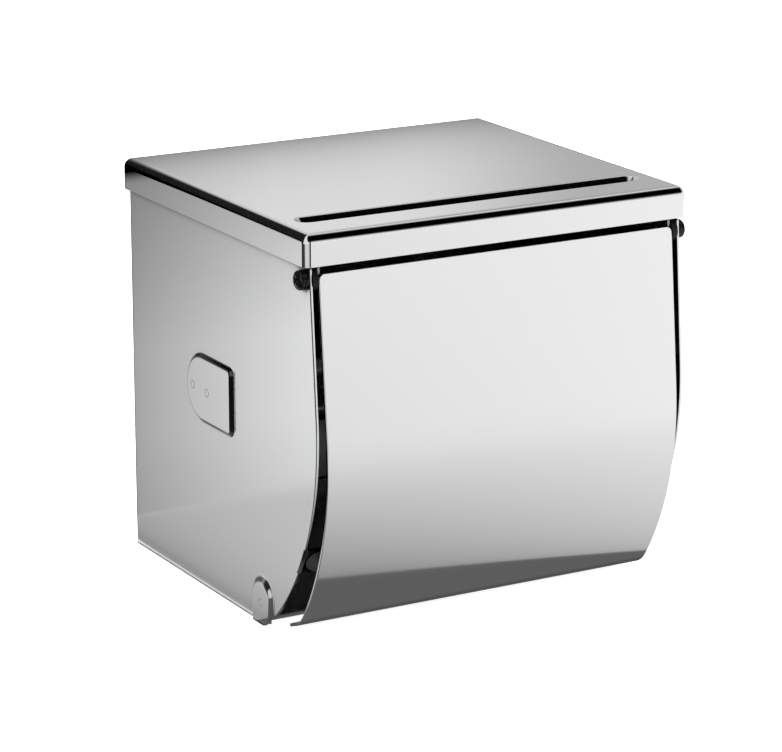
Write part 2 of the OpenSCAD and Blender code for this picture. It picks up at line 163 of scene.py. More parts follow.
class SheetMesh:
    """A mesh made from rows and closed loops of points, such as one skin of a pressed sheet."""

    def __init__(self) -> None:
        """Starts with an empty mesh."""
        self.bm = bmesh.new()

    def row(self, points: Sequence[Vector]) -> list[bmesh.types.BMVert]:
        """Adds one row of vertices.

        Args:
            points: the places of the vertices.

        Returns:
            The new vertices.
        """
        return [self.bm.verts.new(p) for p in points]

    def bridge(self, first: list, second: list, closed: bool) -> None:
        """Joins two rows of the same length with four-sided faces.

        Args:
            first: one row of vertices.
            second: the next row.
            closed: True where the rows are loops.
        """
        count = len(first)
        for i in range(count if closed else count - 1):
            j = (i + 1) % count
            self.bm.faces.new((first[i], first[j], second[j], second[i]))

    def loft(self, rows: Sequence[Sequence[Vector]], closed: bool) -> list[list]:
        """Joins a series of rows of points.

        Args:
            rows: rows of points, all of the same length.
            closed: True where the rows are loops.

        Returns:
            The vertices of each row.
        """
        made = [self.row(points) for points in rows]
        for first, second in zip(made, made[1:]):
            self.bridge(first, second, closed)
        return made

    def outline(self, verts: Sequence) -> list[bmesh.types.BMEdge]:
        """Makes or finds the edges of a closed outline.

        Args:
            verts: the outline's vertices in order.

        Returns:
            Its edges.
        """
        edges = []
        for i, here in enumerate(verts):
            ahead = verts[(i + 1) % len(verts)]
            edges.append(self.bm.edges.get((here, ahead)) or self.bm.edges.new((here, ahead)))
        return edges

    def flat(self, outlines: Sequence[Sequence], border: float = 0.0) -> None:
        """Fills the flat stretch inside the first outline and outside the others.

        Args:
            outlines: closed rows of vertices that lie in one plane.
            border: width of narrow faces all round that keep the shading of the rest flat.
        """
        edges = [edge for verts in outlines for edge in self.outline(verts)]
        made = bmesh.ops.triangle_fill(self.bm, use_beauty=True, use_dissolve=False, edges=edges)
        faces = [item for item in made["geom"] if isinstance(item, bmesh.types.BMFace)]
        if border:
            bmesh.ops.recalc_face_normals(self.bm, faces=faces)
            bmesh.ops.inset_region(
                self.bm, faces=faces, thickness=border, use_boundary=True, use_even_offset=True
            )

    def cap(self, verts: Sequence) -> None:
        """Closes one loop with a single face."""
        self.bm.faces.new(verts)

    def mirror_x(self) -> None:
        """Adds the mirror image across x = 0 and joins what meets there."""
        made = bmesh.ops.duplicate(self.bm, geom=self.bm.verts[:] + self.bm.edges[:] + self.bm.faces[:])
        verts = [item for item in made["geom"] if isinstance(item, bmesh.types.BMVert)]
        for vert in verts:
            vert.co.x = -vert.co.x
        bmesh.ops.remove_doubles(self.bm, verts=self.bm.verts[:], dist=0.005 * MM)

    def piece(self, name: str, outward: Callable[[Vector], Vector] | None = None) -> bpy.types.Object:
        """Turns the mesh into an object with faces that point outwards.

        Args:
            name: the piece's name.
            outward: gives the direction that counts as outwards at a point of an open skin.

        Returns:
            The object.
        """
        bmesh.ops.remove_doubles(self.bm, verts=self.bm.verts[:], dist=0.002 * MM)
        bmesh.ops.recalc_face_normals(self.bm, faces=self.bm.faces[:])
        if outward is not None:
            total = sum(f.calc_area() * f.normal.dot(outward(f.calc_center_median())) for f in self.bm.faces)
            if total < 0:
                bmesh.ops.reverse_faces(self.bm, faces=self.bm.faces[:])
        for face in self.bm.faces:
            face.smooth = True
        mesh = bpy.data.meshes.new(name)
        self.bm.to_mesh(mesh)
        self.bm.free()
        obj = bpy.data.objects.new(name, mesh)
        bpy.context.scene.collection.objects.link(obj)
        return obj


def pressed_wall(height: float, foot_r: float, edge_r: float, steps: int) -> list[Point]:
    """Section of a pressed wall at 45 degrees with a rounded foot and a rounded edge.

    Args:
        height: how far the wall rises.
        foot_r: radius of the hollow at its foot.
        edge_r: radius of its upper edge.
        steps: segments in each rounding.

    Returns:
        Points (inset, rise), where inset is measured from the foot of the sharp wall.
    """
    eighth = math.pi / 4
    foot, edge = foot_r * math.tan(eighth / 2), edge_r * math.tan(eighth / 2)
    angles = [eighth * i / steps for i in range(steps + 1)]
    rising = [(foot_r * math.sin(a) - foot, foot_r - foot_r * math.cos(a)) for a in angles]
    level = [
        (height + edge - edge_r * math.sin(a), height - edge_r + edge_r * math.cos(a))
        for a in reversed(angles)
    ]
    return rising + level


def rounded_outline(corners: Sequence[Point], radii: Sequence[float], steps: int) -> list[Point]:
    """Closed outline with rounded corners and the same number of points whatever the radii.

    Args:
        corners: the sharp corners in order.
        radii: the radius at each corner.
        steps: segments in each corner.

    Returns:
        The outline's points.
    """
    points: list[Point] = []
    for i, (corner, radius) in enumerate(zip(corners, radii)):
        here = Vector(corner)
        back = (Vector(corners[i - 1]) - here).normalized()
        ahead = (Vector(corners[(i + 1) % len(corners)]) - here).normalized()
        half = back.angle(ahead) / 2
        reach = radius / math.tan(half)
        centre = here + (back + ahead).normalized() * (radius / math.sin(half))
        start, end = here + back * reach - centre, here + ahead * reach - centre
        turn = start.angle_signed(end)
        for k in range(steps + 1):
            spoke = start.copy()
            spoke.rotate(Matrix.Rotation(-turn * k / steps, 2))
            points.append(tuple(centre + spoke))
    return points


def circle(centre: Point, radius: float, steps: int) -> list[Point]:
    """Points round a circle.

    Args:
        centre: its centre.
        radius: its radius.
        steps: how many points.

    Returns:
        The points in order.
    """
    turns = (2 * math.pi * i / steps for i in range(steps))
    return [(centre[0] + radius * math.cos(a), centre[1] + radius * math.sin(a)) for a in turns]


def lathe(name: str, profile: Sequence[Point], axis: Vector, segments: int = 72) -> bpy.types.Object:
    """Turns a section round an axis that runs along +X.

    Args:
        name: the piece's name.
        profile: points (x, radius); a radius of 0 lies on the axis, and a section that never
            reaches it is closed into a ring.
        axis: a point on the axis; its x is added to the section's.
        segments: faces round the piece.

    Returns:
        The turned piece.
    """
    sheet = SheetMesh()
    rings: list[list] = []
    for x, radius in profile:
        if radius == 0:
            rings.append(sheet.row([Vector((axis.x + x, axis.y, axis.z))]))
        else:
            rings.append(sheet.row([
                Vector((axis.x + x, axis.y + u, axis.z + v)) for u, v in circle((0, 0), radius, segments)
            ]))
    pairs = list(zip(rings, rings[1:]))
    if all(radius > 0 for _, radius in profile):
        pairs.append((rings[-1], rings[0]))
    for first, second in pairs:
        if len(first) == 1 or len(second) == 1:
            tip, ring = (first[0], second) if len(first) == 1 else (second[0], first)
            for i in range(segments):
                sheet.bm.faces.new((tip, ring[i], ring[(i + 1) % segments]))
        else:
            sheet.bridge(first, second, closed=True)
    return sheet.piece(name)


def plain_copy(obj: bpy.types.Object) -> None:
    """Applies an object's modifiers to its mesh.

    Args:
        obj: the object; it keeps its name and loses its modifiers.
    """
    depsgraph = bpy.context.evaluated_depsgraph_get()
    mesh = bpy.data.meshes.new_from_object(
        obj.evaluated_get(depsgraph), preserve_all_data_layers=True, depsgraph=depsgraph
    )
    obj.modifiers.clear()
    obj.data = mesh
    mesh.name = obj.name


def mirrored(obj: bpy.types.Object, side: Side) -> bpy.types.Object:
    """Turns a left piece into a right one where the side asks for it.

    Args:
        obj: the left piece.
        side: the side that it is for.

    Returns:
        The same object.
    """
    if side is Side.RIGHT:
        obj.data.transform(Matrix.Scale(-1, 4, Vector((1, 0, 0))))
        obj.data.flip_normals()
    return obj


def finish_sheet(obj: bpy.types.Object, thickness: float, edge: float) -> None:
    """Gives a skin its thickness inwards and breaks its sharp edges.

    Args:
        obj: the skin, or a closed piece where thickness is 0.
        thickness: the sheet's thickness.
        edge: width of the broken edge.
    """
    if thickness:
        solid = obj.modifiers.new("thickness", "SOLIDIFY")
        solid.thickness = thickness
        solid.offset = -1
        solid.use_even_offset = True
        solid.use_quality_normals = True
    bevel = obj.modifiers.new("broken_edges", "BEVEL")
    bevel.width = edge
    bevel.segments = 2
    bevel.limit_method = "ANGLE"
    bevel.angle_limit = math.radians(40)
    bevel.use_clamp_overlap = False
    weighted = obj.modifiers.new("flat_faces", "WEIGHTED_NORMAL")
    weighted.weight = 100
    weighted.keep_sharp = False
    plain_copy(obj)


def refined(node: str, name: str, edge: float) -> bpy.types.Object:
    """A finer copy of a frame piece with its sharp edges broken.

    Args:
        node: the frame piece.
        name: the new piece's name.
        edge: width of the broken edge.

    Returns:
        The new piece.
    """
    sheet = SheetMesh()
    sheet.bm.from_mesh(frame["nodes"][node].data)
    bmesh.ops.remove_doubles(sheet.bm, verts=sheet.bm.verts[:], dist=0.004 * MM)
    bmesh.ops.dissolve_limit(
        sheet.bm, angle_limit=math.radians(1), verts=sheet.bm.verts[:], edges=sheet.bm.edges[:]
    )
    obj = sheet.piece(name)
    finish_sheet(obj, 0, edge)
    return obj


# ---------------------------------------------------------------- node trees


class Graph:
    """A short way to write a tree of nodes."""

    def __init__(self, tree: bpy.types.NodeTree) -> None:
        """Takes over a tree.

        Args:
            tree: the tree to add to.
        """
        self.tree = tree

    def add(self, kind: str, /, *, inputs: dict | None = None, **settings: object) -> bpy.types.Node:
        """Adds a node.

        Args:
            kind: the node's type.
            inputs: socket names or numbers, each with a value or with another node's output.
            settings: the node's own settings.

        Returns:
            The new node.
        """
        node = self.tree.nodes.new(kind)
        for key, value in settings.items():
            setattr(node, key, value)
        for key, value in (inputs or {}).items():
            if isinstance(value, bpy.types.NodeSocket):
                self.tree.links.new(value, node.inputs[key])
            else:
                node.inputs[key].default_value = value
        return node

    def link(self, value: bpy.types.NodeSocket, socket: bpy.types.NodeSocket) -> None:
        """Leads an output into a socket."""
        self.tree.links.new(value, socket)

    def group(self, tree: bpy.types.NodeTree, **values: object) -> bpy.types.NodeSocket:
        """Adds a shader group with some of its inputs set and gives its first output.

        Args:
            tree: the group's tree.
            values: the inputs that are set, each with its value.

        Returns:
            The group's first output.
        """
        node = self.add("ShaderNodeGroup", node_tree=tree)
        for label, value in values.items():
            node.inputs[label].default_value = value
        return node.outputs[0]

    def math(
        self, operation: str, first: object, second: object = 0.0, third: object = 0.0
    ) -> bpy.types.NodeSocket:
        """Adds a sum on numbers.

        Args:
            operation: the node's operation.
            first: a number or an output.
            second: a number or an output.
            third: a number or an output, for operations that take three.

        Returns:
            The result's socket.
        """
        values = {0: first, 1: second, 2: third}
        return self.add("ShaderNodeMath", operation=operation, inputs=values).outputs[0]

    def product(self, first: object, *others: object) -> bpy.types.NodeSocket:
        """Multiplies numbers or outputs.

        Args:
            first: a number or an output.
            others: what it is multiplied by, in order.

        Returns:
            The result's socket.
        """
        result = first
        for factor in others:
            result = self.math("MULTIPLY", result, factor)
        return result

    def fade(self, distance: object, far: float, drop: float, reach: float) -> bpy.types.NodeSocket:
        """A tone that is lower by drop at a distance of 0 and comes back to far over a reach.

        Args:
            distance: the distance's socket.
            far: the tone far away.
            drop: how much darker it is at 0.
            reach: the distance over which most of the drop is gone.

        Returns:
            The tone's socket.
        """
        fall = self.math("EXPONENT", self.product(distance, -1 / reach))
        return self.math("MULTIPLY_ADD", fall, -drop, far)

    def noise(
        self, place: object, scale: object, detail: float, distortion: float = 0.0
    ) -> bpy.types.NodeSocket:
        """Cloudy noise.

        Args:
            place: the socket of the place.
            scale: how fine it is, a number or an output.
            detail: how many finer layers it has.
            distortion: how much it is stirred.

        Returns:
            The noise's socket.
        """
        values = {"Vector": place, "Scale": scale, "Detail": detail, "Distortion": distortion}
        return self.add("ShaderNodeTexNoise", inputs=values).outputs[0]

    def relief(self, height: object, depth: float, shader: bpy.types.Node) -> None:
        """Gives a shader fine relief of a depth in metres."""
        bump = self.add("ShaderNodeBump", inputs={"Strength": 1.0, "Distance": depth, "Height": height})
        self.link(bump.outputs[0], shader.inputs["Normal"])

    def parts(self, vector: object) -> bpy.types.NodeOutputs:
        """Splits a vector into its X, Y and Z."""
        return self.add("ShaderNodeSeparateXYZ", inputs={0: vector}).outputs

    def remap(
        self, value: object, source: Point, target: Point, smooth: bool = False
    ) -> bpy.types.NodeSocket:
        """Moves a number from one range to another and keeps it inside.

        Args:
            value: the number's socket.
            source: the range that it comes in.
            target: the range that it leaves in.
            smooth: True for a soft start and end.

        Returns:
            The result's socket.
        """
        return self.add(
            "ShaderNodeMapRange", interpolation_type="SMOOTHSTEP" if smooth else "LINEAR",
            inputs={"Value": value, "From Min": source[0], "From Max": source[1],
                    "To Min": target[0], "To Max": target[1]},
        ).outputs["Result"]

    def blend(self, factor: object, first: object, second: object) -> bpy.types.NodeSocket:
        """Mixes two colours.

        Args:
            factor: how much of the second.
            first: a colour or an output.
            second: a colour or an output.

        Returns:
            The mixed colour's socket.
        """
        node = self.add("ShaderNodeMix", data_type="RGBA")
        for index, value in ((0, factor), (6, first), (7, second)):
            if isinstance(value, bpy.types.NodeSocket):
                self.tree.links.new(value, node.inputs[index])
            else:
                node.inputs[index].default_value = value
        return node.outputs[2]


def new_group(name: str, kind: str, inputs: dict[str, tuple[str, object]], outputs: dict[str, str]) -> tuple:
    """Makes a node group with named sockets.

    Args:
        name: the group's name.
        kind: the type of its tree.
        inputs: the socket type and the usual value of each input.
        outputs: the socket type of each output.

    Returns:
        The graph, the group's input node and its output node.
    """
    tree = bpy.data.node_groups.new(name, kind)
    for label, (socket, value) in inputs.items():
        made = tree.interface.new_socket(label, in_out="INPUT", socket_type=socket)
        if value is not None:
            made.default_value = value
    for label, socket in outputs.items():
        tree.interface.new_socket(label, in_out="OUTPUT", socket_type=socket)
    graph = Graph(tree)
    return graph, graph.add("NodeGroupInput"), graph.add("NodeGroupOutput")


class Effects:
    """Shader groups that several finishes share. Each is made once."""

    FLOAT = "NodeSocketFloat"
    VECTOR = "NodeSocketVector"

    def __init__(self, sizes: BoxSizes) -> None:
        """Makes the groups.

        Args:
            sizes: the shared sizes, for the painted shade that depends on the height.
        """
        self.sizes = sizes
        self.grain = self._grain()
        self.wear = self._wear()
        self.smudge = self._smudge()
        self.dust = self._dust()
        self.speckle = self._speckle()
        self.painted_corner_shade = self._painted_corner_shade()
        self.outline = self._painted_edge_shade()

    def _grain(self) -> bpy.types.NodeTree:
        """Fine polishing lines: a shift of roughness and a height."""
        graph, given, out = new_group(
            "polishing_lines", "ShaderNodeTree",
            {"Stretch": (self.VECTOR, (1.0, 1.0, 1.0)), "Depth": (self.FLOAT, 0.05)},
            {"Roughness Shift": self.FLOAT, "Height": self.FLOAT},
        )
        place = graph.add("ShaderNodeTexCoord").outputs["Object"]
        spread = graph.add(
            "ShaderNodeVectorMath", operation="MULTIPLY", inputs={0: place, 1: given.outputs["Stretch"]})
        fine = graph.noise(spread.outputs[0], 3.0, 5.0)
        broad = graph.noise(spread.outputs[0], 0.35, 2.0)
        both = graph.math("MULTIPLY_ADD", broad, 0.6, graph.product(fine, 0.4))
        centred = graph.math("SUBTRACT", both, 0.5)
        graph.link(graph.product(centred, given.outputs["Depth"]), out.inputs["Roughness Shift"])
        graph.link(centred, out.inputs["Height"])
        return graph.tree

    def _wear(self) -> bpy.types.NodeTree:
        """A mask of the edges that hands and cloths have rubbed."""
        graph, given, out = new_group(
            "edge_wear", "ShaderNodeTree",
            {"Width": (self.FLOAT, 0.4 * MM), "Breakup": (self.FLOAT, 60.0)}, {"Mask": self.FLOAT},
        )
        rounded = graph.add("ShaderNodeBevel", samples=3, inputs={"Radius": given.outputs["Width"]})
        normal = graph.add("ShaderNodeNewGeometry").outputs["Normal"]
        facing = graph.add(
            "ShaderNodeVectorMath", operation="DOT_PRODUCT", inputs={0: rounded.outputs[0], 1: normal})
        edge = graph.remap(facing.outputs["Value"], (1.0, 0.85), (0.0, 1.0))
        place = graph.add("ShaderNodeTexCoord").outputs["Object"]
        noise = graph.noise(place, given.outputs["Breakup"], 2.0)
        graph.link(graph.product(edge, graph.remap(noise, (0.3, 0.7), (0.2, 1.0))), out.inputs["Mask"])
        return graph.tree

    def _smudge(self) -> bpy.types.NodeTree:
        """Broad faint marks left by wiping."""
        graph, given, out = new_group(
            "wiping_marks", "ShaderNodeTree",
            {"Size": (self.FLOAT, 14.0), "Strength": (self.FLOAT, 0.03)}, {"Roughness Shift": self.FLOAT},
        )
        place = graph.add("ShaderNodeTexCoord").outputs["Object"]
        noise = graph.noise(place, given.outputs["Size"], 3.0, 1.4)
        mask = graph.remap(noise, (0.5, 0.8), (0.0, 1.0), smooth=True)
        graph.link(graph.product(mask, given.outputs["Strength"]), out.inputs["Roughness Shift"])
        return graph.tree

    def _dust(self) -> bpy.types.NodeTree:
        """A mask of thin dust on what faces up."""
        graph, given, out = new_group(
            "settled_dust", "ShaderNodeTree", {"Amount": (self.FLOAT, 0.1)}, {"Mask": self.FLOAT},
        )
        up = graph.parts(graph.add("ShaderNodeNewGeometry").outputs["Normal"])["Z"]
        place = graph.add("ShaderNodeTexCoord").outputs["Object"]
        thin = graph.remap(graph.noise(place, 900.0, 2.0), (0.55, 0.75), (0.0, 1.0))
        mask = graph.product(graph.remap(up, (0.3, 1.0), (0.0, 1.0)), thin)
        graph.link(graph.product(mask, given.outputs["Amount"]), out.inputs["Mask"])
        return graph.tree

    def _speckle(self) -> bpy.types.NodeTree:
        """Fine unevenness of moulded plastic and rubber."""
        graph, given, out = new_group(
            "moulded_skin", "ShaderNodeTree", {"Scale": (self.FLOAT, 700.0)}, {"Height": self.FLOAT},
        )
        place = graph.add("ShaderNodeTexCoord").outputs["Object"]
        graph.link(graph.noise(place, given.outputs["Scale"], 4.0), out.inputs["Height"])
        return graph.tree

    def _painted_corner_shade(self) -> bpy.types.NodeTree:
        """A mask of painted shade in corners and narrow gaps, but not where the box meets the table."""
        graph, given, out = new_group(
            "painted_shade_in_corners", "ShaderNodeTree", {"Reach": (self.FLOAT, 8 * MM)}, {"Mask": self.FLOAT},
        )
        sky = graph.add("ShaderNodeAmbientOcclusion", samples=6, inputs={"Distance": given.outputs["Reach"]})
        mask = graph.remap(sky.outputs["AO"], (0.86, 0.62), (0.0, 0.97), smooth=True)
        height = graph.parts(graph.add("ShaderNodeNewGeometry").outputs["Position"])["Z"]
        low = self.sizes.z_bottom
        raised = graph.remap(height, (low + 1 * MM, low + 8 * MM), (0.0, 1.0))
        graph.link(graph.product(mask, raised), out.inputs["Mask"])
        return graph.tree

    def _painted_edge_shade(self) -> bpy.types.NodeTree:
        """A mask of painted shade: the dark line on pressed walls and outer edges, set by the direction of
        the surface.
        """
        graph, given, out = new_group(
            "painted_edge_shade_mask", "ShaderNodeTree", {"Strength": (self.FLOAT, 0.0)}, {"Mask": self.FLOAT},
        )
        low = self.sizes.z_bottom
        surface = graph.add("ShaderNodeNewGeometry").outputs
        facing, place = graph.parts(surface["Normal"]), graph.parts(surface["Position"])
        across = graph.math("ABSOLUTE", facing["X"])
        steep = graph.remap(across, (0.99, 0.9), (0.0, 1.0))
        off_edge = graph.remap(across, (0.12, 0.3), (0.0, 1.0))
        by_channel = graph.remap(place["Z"], (low + 23 * MM, low + 30 * MM), (0.8, 0.0))
        ahead = graph.remap(facing["Y"], (-0.25, 0.0), (1.0, 0.0))
        kept = graph.math("SUBTRACT", 1.0, graph.product(by_channel, ahead))
        walls = graph.product(steep, off_edge, kept)
        foot = graph.remap(place["Z"], (low + 0.4 * MM, low + 0.9 * MM), (1.0, 0.0))
        rear = graph.remap(place["Y"], (-0.9 * MM, -0.5 * MM), (0.0, 1.0))
        rear = graph.product(rear, graph.remap(across, (0.4, 0.6), (0.0, 1.0)))
        mask = graph.math("MAXIMUM", walls, graph.math("MAXIMUM", foot, rear))
        graph.link(graph.product(mask, given.outputs["Strength"]), out.inputs["Mask"])
        return graph.tree


# ---------------------------------------------------------------- finishes


Tint = tuple[float, float, float]
POLISHED = (0.62, 0.622, 0.625)
MILL = (0.62, 0.62, 0.625)
STEEL_DUST = (0.6, 0.59, 0.57, 1.0)
PLASTIC_DUST = (0.5, 0.49, 0.47, 1.0)
# Painted shade: the black of the dark line on pressed walls and outer edges.
PAINTED_EDGE_SHADE_BLACK = (0.02, 0.02, 0.02, 1.0)
# Painted shade: the near black laid into corners and narrow gaps.
PAINTED_CORNER_SHADE_BLACK = (0.004, 0.004, 0.004, 1.0)


def new_material(name: str) -> tuple[bpy.types.Material, Graph, bpy.types.Node]:
    """Starts a material.

    Args:
        name: the material's name.

    Returns:
        The material, the graph of its nodes and its surface shader.
    """
    material = bpy.data.materials.new(name)
    material.use_nodes = True
    return material, Graph(material.node_tree), material.node_tree.nodes["Principled BSDF"]


@dataclass(frozen=True)
class SteelFinish:
    """A stainless steel surface.

    Attributes:
        name: the finish's name.
        slot: the record's material slot.
        colour: its colour.
        roughness: its usual roughness.
        grain: how the polishing lines run.
        grain_depth: how much the lines change the roughness.
        grain_height: how deep the lines are, in metres.
        smudge: how much the wiping marks change the roughness.
        outline: how dark the painted shade on its pressed walls and outer edges is.
    """

    name: str
    slot: str
    colour: Tint
    roughness: float
    grain: Grain
    grain_depth: float
    grain_height: float
    smudge: float
    outline: float = 0.0

    def build(self, effects: Effects) -> bpy.types.Material:
        """Makes the material.

        Args:
            effects: the shared shader groups.

        Returns:
            The material.
        """
        material, graph, shader = new_material(self.name)
        lines = graph.add("ShaderNodeGroup", node_tree=effects.grain)
        lines.inputs["Stretch"].default_value = self.grain.value
        lines.inputs["Depth"].default_value = self.grain_depth
        wear, dust = graph.group(effects.wear), graph.group(effects.dust)
        marks = graph.group(effects.smudge, Strength=self.smudge)
        outline = graph.group(effects.outline, Strength=self.outline)
        rubbed = tuple(min(1.0, c * 1.12) for c in self.colour)
        metal = graph.blend(wear, (*self.colour, 1.0), (*rubbed, 1.0))
        metal = graph.blend(dust, metal, STEEL_DUST)
        # Painted shade: a dark line on pressed walls and outer edges.
        metal = graph.blend(outline, metal, PAINTED_EDGE_SHADE_BLACK)
        # Painted shade: corners and narrow gaps turn near black, from an ambient occlusion mask.
        metal = graph.blend(graph.group(effects.painted_corner_shade), metal, PAINTED_CORNER_SHADE_BLACK)
        graph.link(metal, shader.inputs["Base Color"])
        rough = graph.math("ADD", lines.outputs["Roughness Shift"], marks)
        rough = graph.math("ADD", rough, self.roughness)
        rough = graph.math("MULTIPLY_ADD", dust, 0.4, rough)
        rough = graph.math("MULTIPLY_ADD", wear, 0.06, rough)
        graph.link(rough, shader.inputs["Roughness"])
        graph.relief(lines.outputs["Height"], self.grain_height, shader)
        shader.inputs["Metallic"].default_value = 1.0
        return material


@dataclass(frozen=True)
class MouldedFinish:
    """Moulded plastic, rubber or a black coating.

    Attributes:
        name: the finish's name.
        slot: the record's material slot.
        colour: its colour.
        worn: its colour where the edges are rubbed.
        roughness: its roughness.
        scale: how fine its skin is.
        depth: how deep the skin's texture is, in metres.
        shine: strength of its highlights, 0.5 for plain plastic.
        soft: weight of light that passes under the surface.
    """

    name: str
    slot: str
    colour: Tint
    worn: Tint
    roughness: float
    scale: float
    depth: float
    shine: float = 0.5
    soft: float = 0.0

    def build(self, effects: Effects) -> bpy.types.Material:
        """Makes the material.

        Args:
            effects: the shared shader groups.

        Returns:
            The material.
        """
        material, graph, shader = new_material(self.name)
        wear, dust = graph.group(effects.wear), graph.group(effects.dust)
        skin = graph.group(effects.speckle, Scale=self.scale)
        colour = graph.blend(wear, (*self.colour, 1.0), (*self.worn, 1.0))
        graph.link(graph.blend(dust, colour, PLASTIC_DUST), shader.inputs["Base Color"])
        rough = graph.math("MULTIPLY_ADD", skin, 0.12, self.roughness - 0.06)
        rough = graph.math("MULTIPLY_ADD", dust, 0.3, rough)
        graph.link(rough, shader.inputs["Roughness"])
        graph.relief(skin, self.depth, shader)
        shader.inputs["Specular IOR Level"].default_value = self.shine
        shader.inputs["Subsurface Weight"].default_value = self.soft
        shader.inputs["Subsurface Radius"].default_value = (2 * MM, 2 * MM, 2 * MM)
        return material


FINISHES = {
    "lid": SteelFinish(
        "polished_lid_steel", "lid_steel", POLISHED, roughness=0.1, grain=Grain.ACROSS,
        grain_depth=0.05, grain_height=0.0003 * MM, smudge=0.02),
    # The sides carry the painted shade on their pressed walls and outer edges (outline).
    "body": SteelFinish(
        "polished_side_steel", "body_steel", POLISHED, roughness=0.13, grain=Grain.AROUND,
        grain_depth=0.05, grain_height=0.0003 * MM, smudge=0.03, outline=0.93),
    "cover": SteelFinish(
        "polished_cover_steel", "cover_steel", POLISHED, roughness=0.11, grain=Grain.ACROSS,
        grain_depth=0.06, grain_height=0.0003 * MM, smudge=0.03),
    "inner": SteelFinish(
        "mill_finish_steel", "inner_steel", MILL, roughness=0.32, grain=Grain.ACROSS,
        grain_depth=0.12, grain_height=0.0001 * MM, smudge=0.05),
    "tube": SteelFinish(
        "satin_tube_steel", "roller_steel", (0.7, 0.7, 0.71), roughness=0.22, grain=Grain.TURNED,
        grain_depth=0.12, grain_height=0.0001 * MM, smudge=0.04),
    "wire": SteelFinish(
        "drawn_wire", "spring_steel", (0.5, 0.5, 0.51), roughness=0.3, grain=Grain.TURNED,
        grain_depth=0.1, grain_height=0.0001 * MM, smudge=0.04),
    "black": MouldedFinish(
        "black_screw_finish", "black_screw", colour=(0.003,) * 3, worn=(0.01,) * 3, roughness=0.16,
        scale=1500.0, depth=0.002 * MM, shine=0.2),
    "bush": MouldedFinish(
        "black_nylon", "bush_nylon", colour=(0.006,) * 3, worn=(0.02,) * 3, roughness=0.45,
        scale=900.0, depth=0.01 * MM, shine=0.15),
    "nylon": MouldedFinish(
        "white_nylon", "roller_nylon", colour=(0.78, 0.78, 0.75), worn=(0.86,) * 3, roughness=0.42,
        scale=700.0, depth=0.012 * MM, soft=0.15),
    # The stops' colour is a guess, made this dark as painted shade so that they match the shade in the gap
    # behind the cover.
    "silicone": MouldedFinish(
        "dark_silicone", "stop_silicone", colour=(0.02, 0.02, 0.021), worn=(0.04,) * 3, roughness=0.5,
        scale=500.0, depth=0.01 * MM, shine=0.2, soft=0.1),
}


class Workshop:
    """Holds the materials, and dresses, seats and reports each finished piece."""

    def __init__(self, sizes: BoxSizes) -> None:
        """Makes every material once.

        Args:
            sizes: the shared sizes.
        """
        effects = Effects(sizes)
        self.materials = {key: finish.build(effects) for key, finish in FINISHES.items()}

    def seat(self, obj: bpy.types.Object, finish: str, body: Body, *nodes: str) -> None:
        """Dresses a piece and sets it on its body.

        Args:
            obj: the piece.
            finish: the finish's key.
            body: the body that it moves with.
            nodes: the frame pieces that it stands for.
        """
        obj.data.materials.clear()
        obj.data.materials.append(self.materials[finish])
        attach(obj, body.value)
        if nodes:
            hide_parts(*nodes)
        LOG.info("%s: %d faces on %s", obj.name, len(obj.data.polygons), body.value)


# ---------------------------------------------------------------- lid


